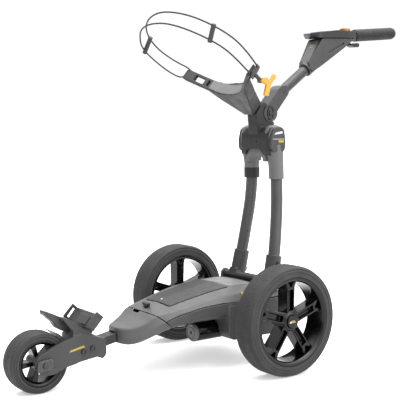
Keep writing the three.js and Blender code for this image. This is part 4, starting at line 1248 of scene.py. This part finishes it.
def console():
    shaft_bore = rod(SHAFT_FROM, SHAFT_TO, SHAFT_R + GAP)
    above = plate_x([[280, 925], [317, 906.2], [480, 914.7], [480, 950], [280, 950]], -50, 50)
    vent = plate_x([[352, 862], [356, 868], [420, 899], [418, 892]], 26, 60, 1)
    moulded(
        "console_shell", [plate_x(CONSOLE_SIDE, -40, 40, 4)], "handle", MECHANISM,
        ["console_body"], within=[plate_z(CONSOLE_PLAN, 700, 1000, 6)],
        cuts=[
            shaft_bore, above, vent,
            plate_x([[352, 862], [356, 868], [420, 899], [418, 892]], -60, -26, 1),
            rod((0, 472, 885), (0, 472, 916), 3.4)
        ],
        voxel=1.0
    )
    moulded(
        "console_collar", [rod((0, 286.5, 812.3), (0, 301, 822.8), 21.5, 22, 56)], "handle",
        MECHANISM, cuts=[shaft_bore], voxel=0.9
    )
    moulded(
        "console_throat",
        [
            rod((0, 440, 915), (0, 486, 924.6), 20, 16, 56),
            rod((0, 455, 921.4), (0, 652, 941), 13.5, 13.5, 48)
        ],
        "handle", MECHANISM, cuts=[above], voxel=1.0
    )
    moulded(
        "display_panel_shell", [plate_x(PANEL_SIDE, -50, 50, 1.5)], "handle", SATIN_BLACK,
        ["display_panel"], within=[plate_z(PANEL_PLAN, 800, 1000, 8)],
        cuts=[
            plate_x([[330, 924.5], [388, 931], [408, 931], [408, 940], [330, 940]], -24, 24),
            rod((0, DIAL_Y, 922), (0, DIAL_Y, 940), 5.4)
        ],
        voxel=0.8, smooth=3
    )
    rise = np.array((42.0, 67.0)) / math.hypot(42, 67)
    outward = np.array((-rise[1], rise[0]))
    foot = np.array((285.6, 835.1))

    def on_front(along, out):
        return list(foot + rise * along + outward * out)

    for part, material, x0, x1, a, b, out in (
        ("plate", GREY, -18, 18, 2, 76, 0.9), ("yellow", MARK_YELLOW, -8, 10, 50, 56, 1.3),
        ("white", WHITE, -8, 10, 59, 61, 1.3)
    ):
        corners = [on_front(a, -1), on_front(b, -1), on_front(b, out), on_front(a, out)]
        plain(f"console_front_{part}", plate_x(corners, x0, x1), "handle", material, bevel=0.3)
    glass = [
        [330.4, 925.2], [388, 931.4], [407.6, 931.4], [407.6, 933.2], [387, 933], [330.4, 926.6]
    ]
    plain(
        "display_glass_plate", plate_x(glass, -23.6, 23.6), "handle", GLASS, ["display_window"],
        bevel=0.3
    )
    knob = [
        (0, 0), (16.2, 0), (16.8, 1), (16.8, 2.8), (16, 3.3), (16, 4.2), (16.4, 4.6), (15.8, 8.6),
        (14.6, 9.4), (11, 9.4), (10.4, 9), (0, 9)
    ]
    plain(
        "speed_dial_knob", turned(knob, (0, DIAL_Y, DIAL_Z), (0, 0, 1), 72), "dial", DIAL_METAL,
        ["speed_dial"]
    )
    grip = [
        (13.9, 0), (17.6, 0), (18.6, 6), (18.6, 167), (14.5, 175), (7, 178), (0, 178.5), (0, 168),
        (13.9, 168)
    ]
    slope = math.atan2(19.6, 197)
    grip_line = (0, 487.8, 924.7), (0, math.cos(slope), math.sin(slope))
    plain(
        "hand_grip_sleeve", turned(soft_profile(grip, 2.5, 4), *grip_line, 72), "handle", GRIP,
        ["hand_grip"]
    )
    cap = [(0, 170), (17, 172.6), (15, 176.8), (7.8, 180), (0, 180.6)]
    plain("hand_grip_cap", turned(soft_profile(cap, 1.2, 3), *grip_line, 72), "handle", GREY)
    paddle = [
        [467, 893.5], [480, 889], [500, 889.5], [505, 895], [502, 902], [488, 902], [480, 899.5],
        [467, 899.5]
    ]
    moulded(
        "brake_paddle", [plate_x(paddle, -11, 11, 2), rod((0, 472, 897), (0, 472, 911), 3)],
        "brake", SATIN_BLACK, ["brake_button"], voxel=0.6, smooth=3
    )


console()

# ---- lid latch

latch_up = np.array((0, -0.27, 0.963))
latch_up /= np.linalg.norm(latch_up)
latch_base = np.array((0, -270, 172.6))
d, u, v = latch_up, np.array((1.0, 0, 0)), np.cross(latch_up, (1.0, 0, 0))
bar = []
for w in (4.5, 11.5):
    for a, b in ((-14, -4), (14, -4), (14, 4), (-14, 4)):
        bar.append(latch_base + d * w + u * a + v * b)
moulded(
    "lid_latch_knob",
    [
        rod(latch_base - d * 12, latch_base + d * 3, 5.6),
        rod(latch_base + d * 2.2, latch_base + d * 5, 9), loft([bar[:4], bar[4:]])
    ],
    "latch", SATIN_BLACK, ["lid_latch"], voxel=0.6, smooth=3
)

# ---- CAD nodes that stay

for node, material in {
    "drive_axle": STEEL, "worm_wheel": BRONZE, "motor_rotor": STEEL, "left_axle_bearing": STEEL,
    "right_axle_bearing": STEEL, "battery_pack": SATIN_BLACK, "controller_box": CAST
}.items():
    mesh_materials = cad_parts[node].data.materials
    mesh_materials.clear()
    mesh_materials.append(material)

# ---- stage

floor_mesh = bpy.data.meshes.new("floor")
FLOOR_HALF = 60
FLOOR_GLOW = 0.42  # lifts the shadow under the body
floor_mesh.from_pydata(
    [(x * FLOOR_HALF, y * FLOOR_HALF, 0) for x, y in ((-1, -1), (1, -1), (1, 1), (-1, 1))], [],
    [[0, 1, 2, 3]]
)
floor = object_of("floor", floor_mesh)
paint = bpy.data.materials.new("floor_paint")
paint.use_nodes = True
shader = paint.node_tree.nodes["Principled BSDF"]
shader.inputs["Base Color"].default_value = (0.5, 0.5, 0.5, 1)
shader.inputs["Roughness"].default_value = 0.9
shader.inputs["Specular IOR Level"].default_value = 0.1
shader.inputs["Emission Color"].default_value = (1, 1, 1, 1)
shader.inputs["Emission Strength"].default_value = FLOOR_GLOW
floor_mesh.materials.append(paint)

world = bpy.data.worlds.new("studio")
world.use_nodes = True
sky = world.node_tree
background = sky.nodes["Background"]
background.inputs["Color"].default_value = (1, 1, 1, 1)
direction = sky.nodes.new("ShaderNodeTexCoord").outputs["Generated"]


def toward(axis, low, high, strongest):
    """Light that grows towards one direction of the studio."""
    dot = sky.nodes.new("ShaderNodeVectorMath")
    dot.operation = "DOT_PRODUCT"
    dot.inputs[1].default_value = Vector(axis).normalized()
    sky.links.new(direction, dot.inputs[0])
    span = sky.nodes.new("ShaderNodeMapRange")
    span.interpolation_type = "SMOOTHSTEP"
    for key, value in (
        ("From Min", low), ("From Max", high), ("To Min", 0), ("To Max", strongest)
    ):
        span.inputs[key].default_value = value
    sky.links.new(dot.outputs["Value"], span.inputs["Value"])
    return span.outputs["Result"]


total = toward((0, 1, 0.1), -1.0, -0.2, 0.5)
for part in (toward((0.15, 0.1, 1), 0.2, 1.0, 3.6), toward((1, 0.25, 0.35), 0.3, 1.0, 0.9)):
    add = sky.nodes.new("ShaderNodeMath")
    add.operation = "ADD"
    sky.links.new(total, add.inputs[0])
    sky.links.new(part, add.inputs[1])
    total = add.outputs["Value"]
add = sky.nodes.new("ShaderNodeMath")
add.operation = "ADD"
add.inputs[1].default_value = 0.55
sky.links.new(total, add.inputs[0])
sky.links.new(add.outputs["Value"], background.inputs["Strength"])
scene.world = world


def softbox(name, place, target, size, power):
    light = bpy.data.lights.new(name, "AREA")
    light.shape = "SQUARE"
    light.size = size
    light.energy = power
    obj = bpy.data.objects.new(name, light)
    obj.location = place
    obj.rotation_euler = ((Vector(target) - Vector(place)).to_track_quat("-Z", "Y").to_euler())
    scene.collection.objects.link(obj)


softbox("softbox_top", (0.5, 0.2, 3.0), (0, -0.1, 0.3), 1.8, 60)
softbox("softbox_side", (3.2, 0.9, 1.5), (0, 0, 0.5), 1.4, 25)
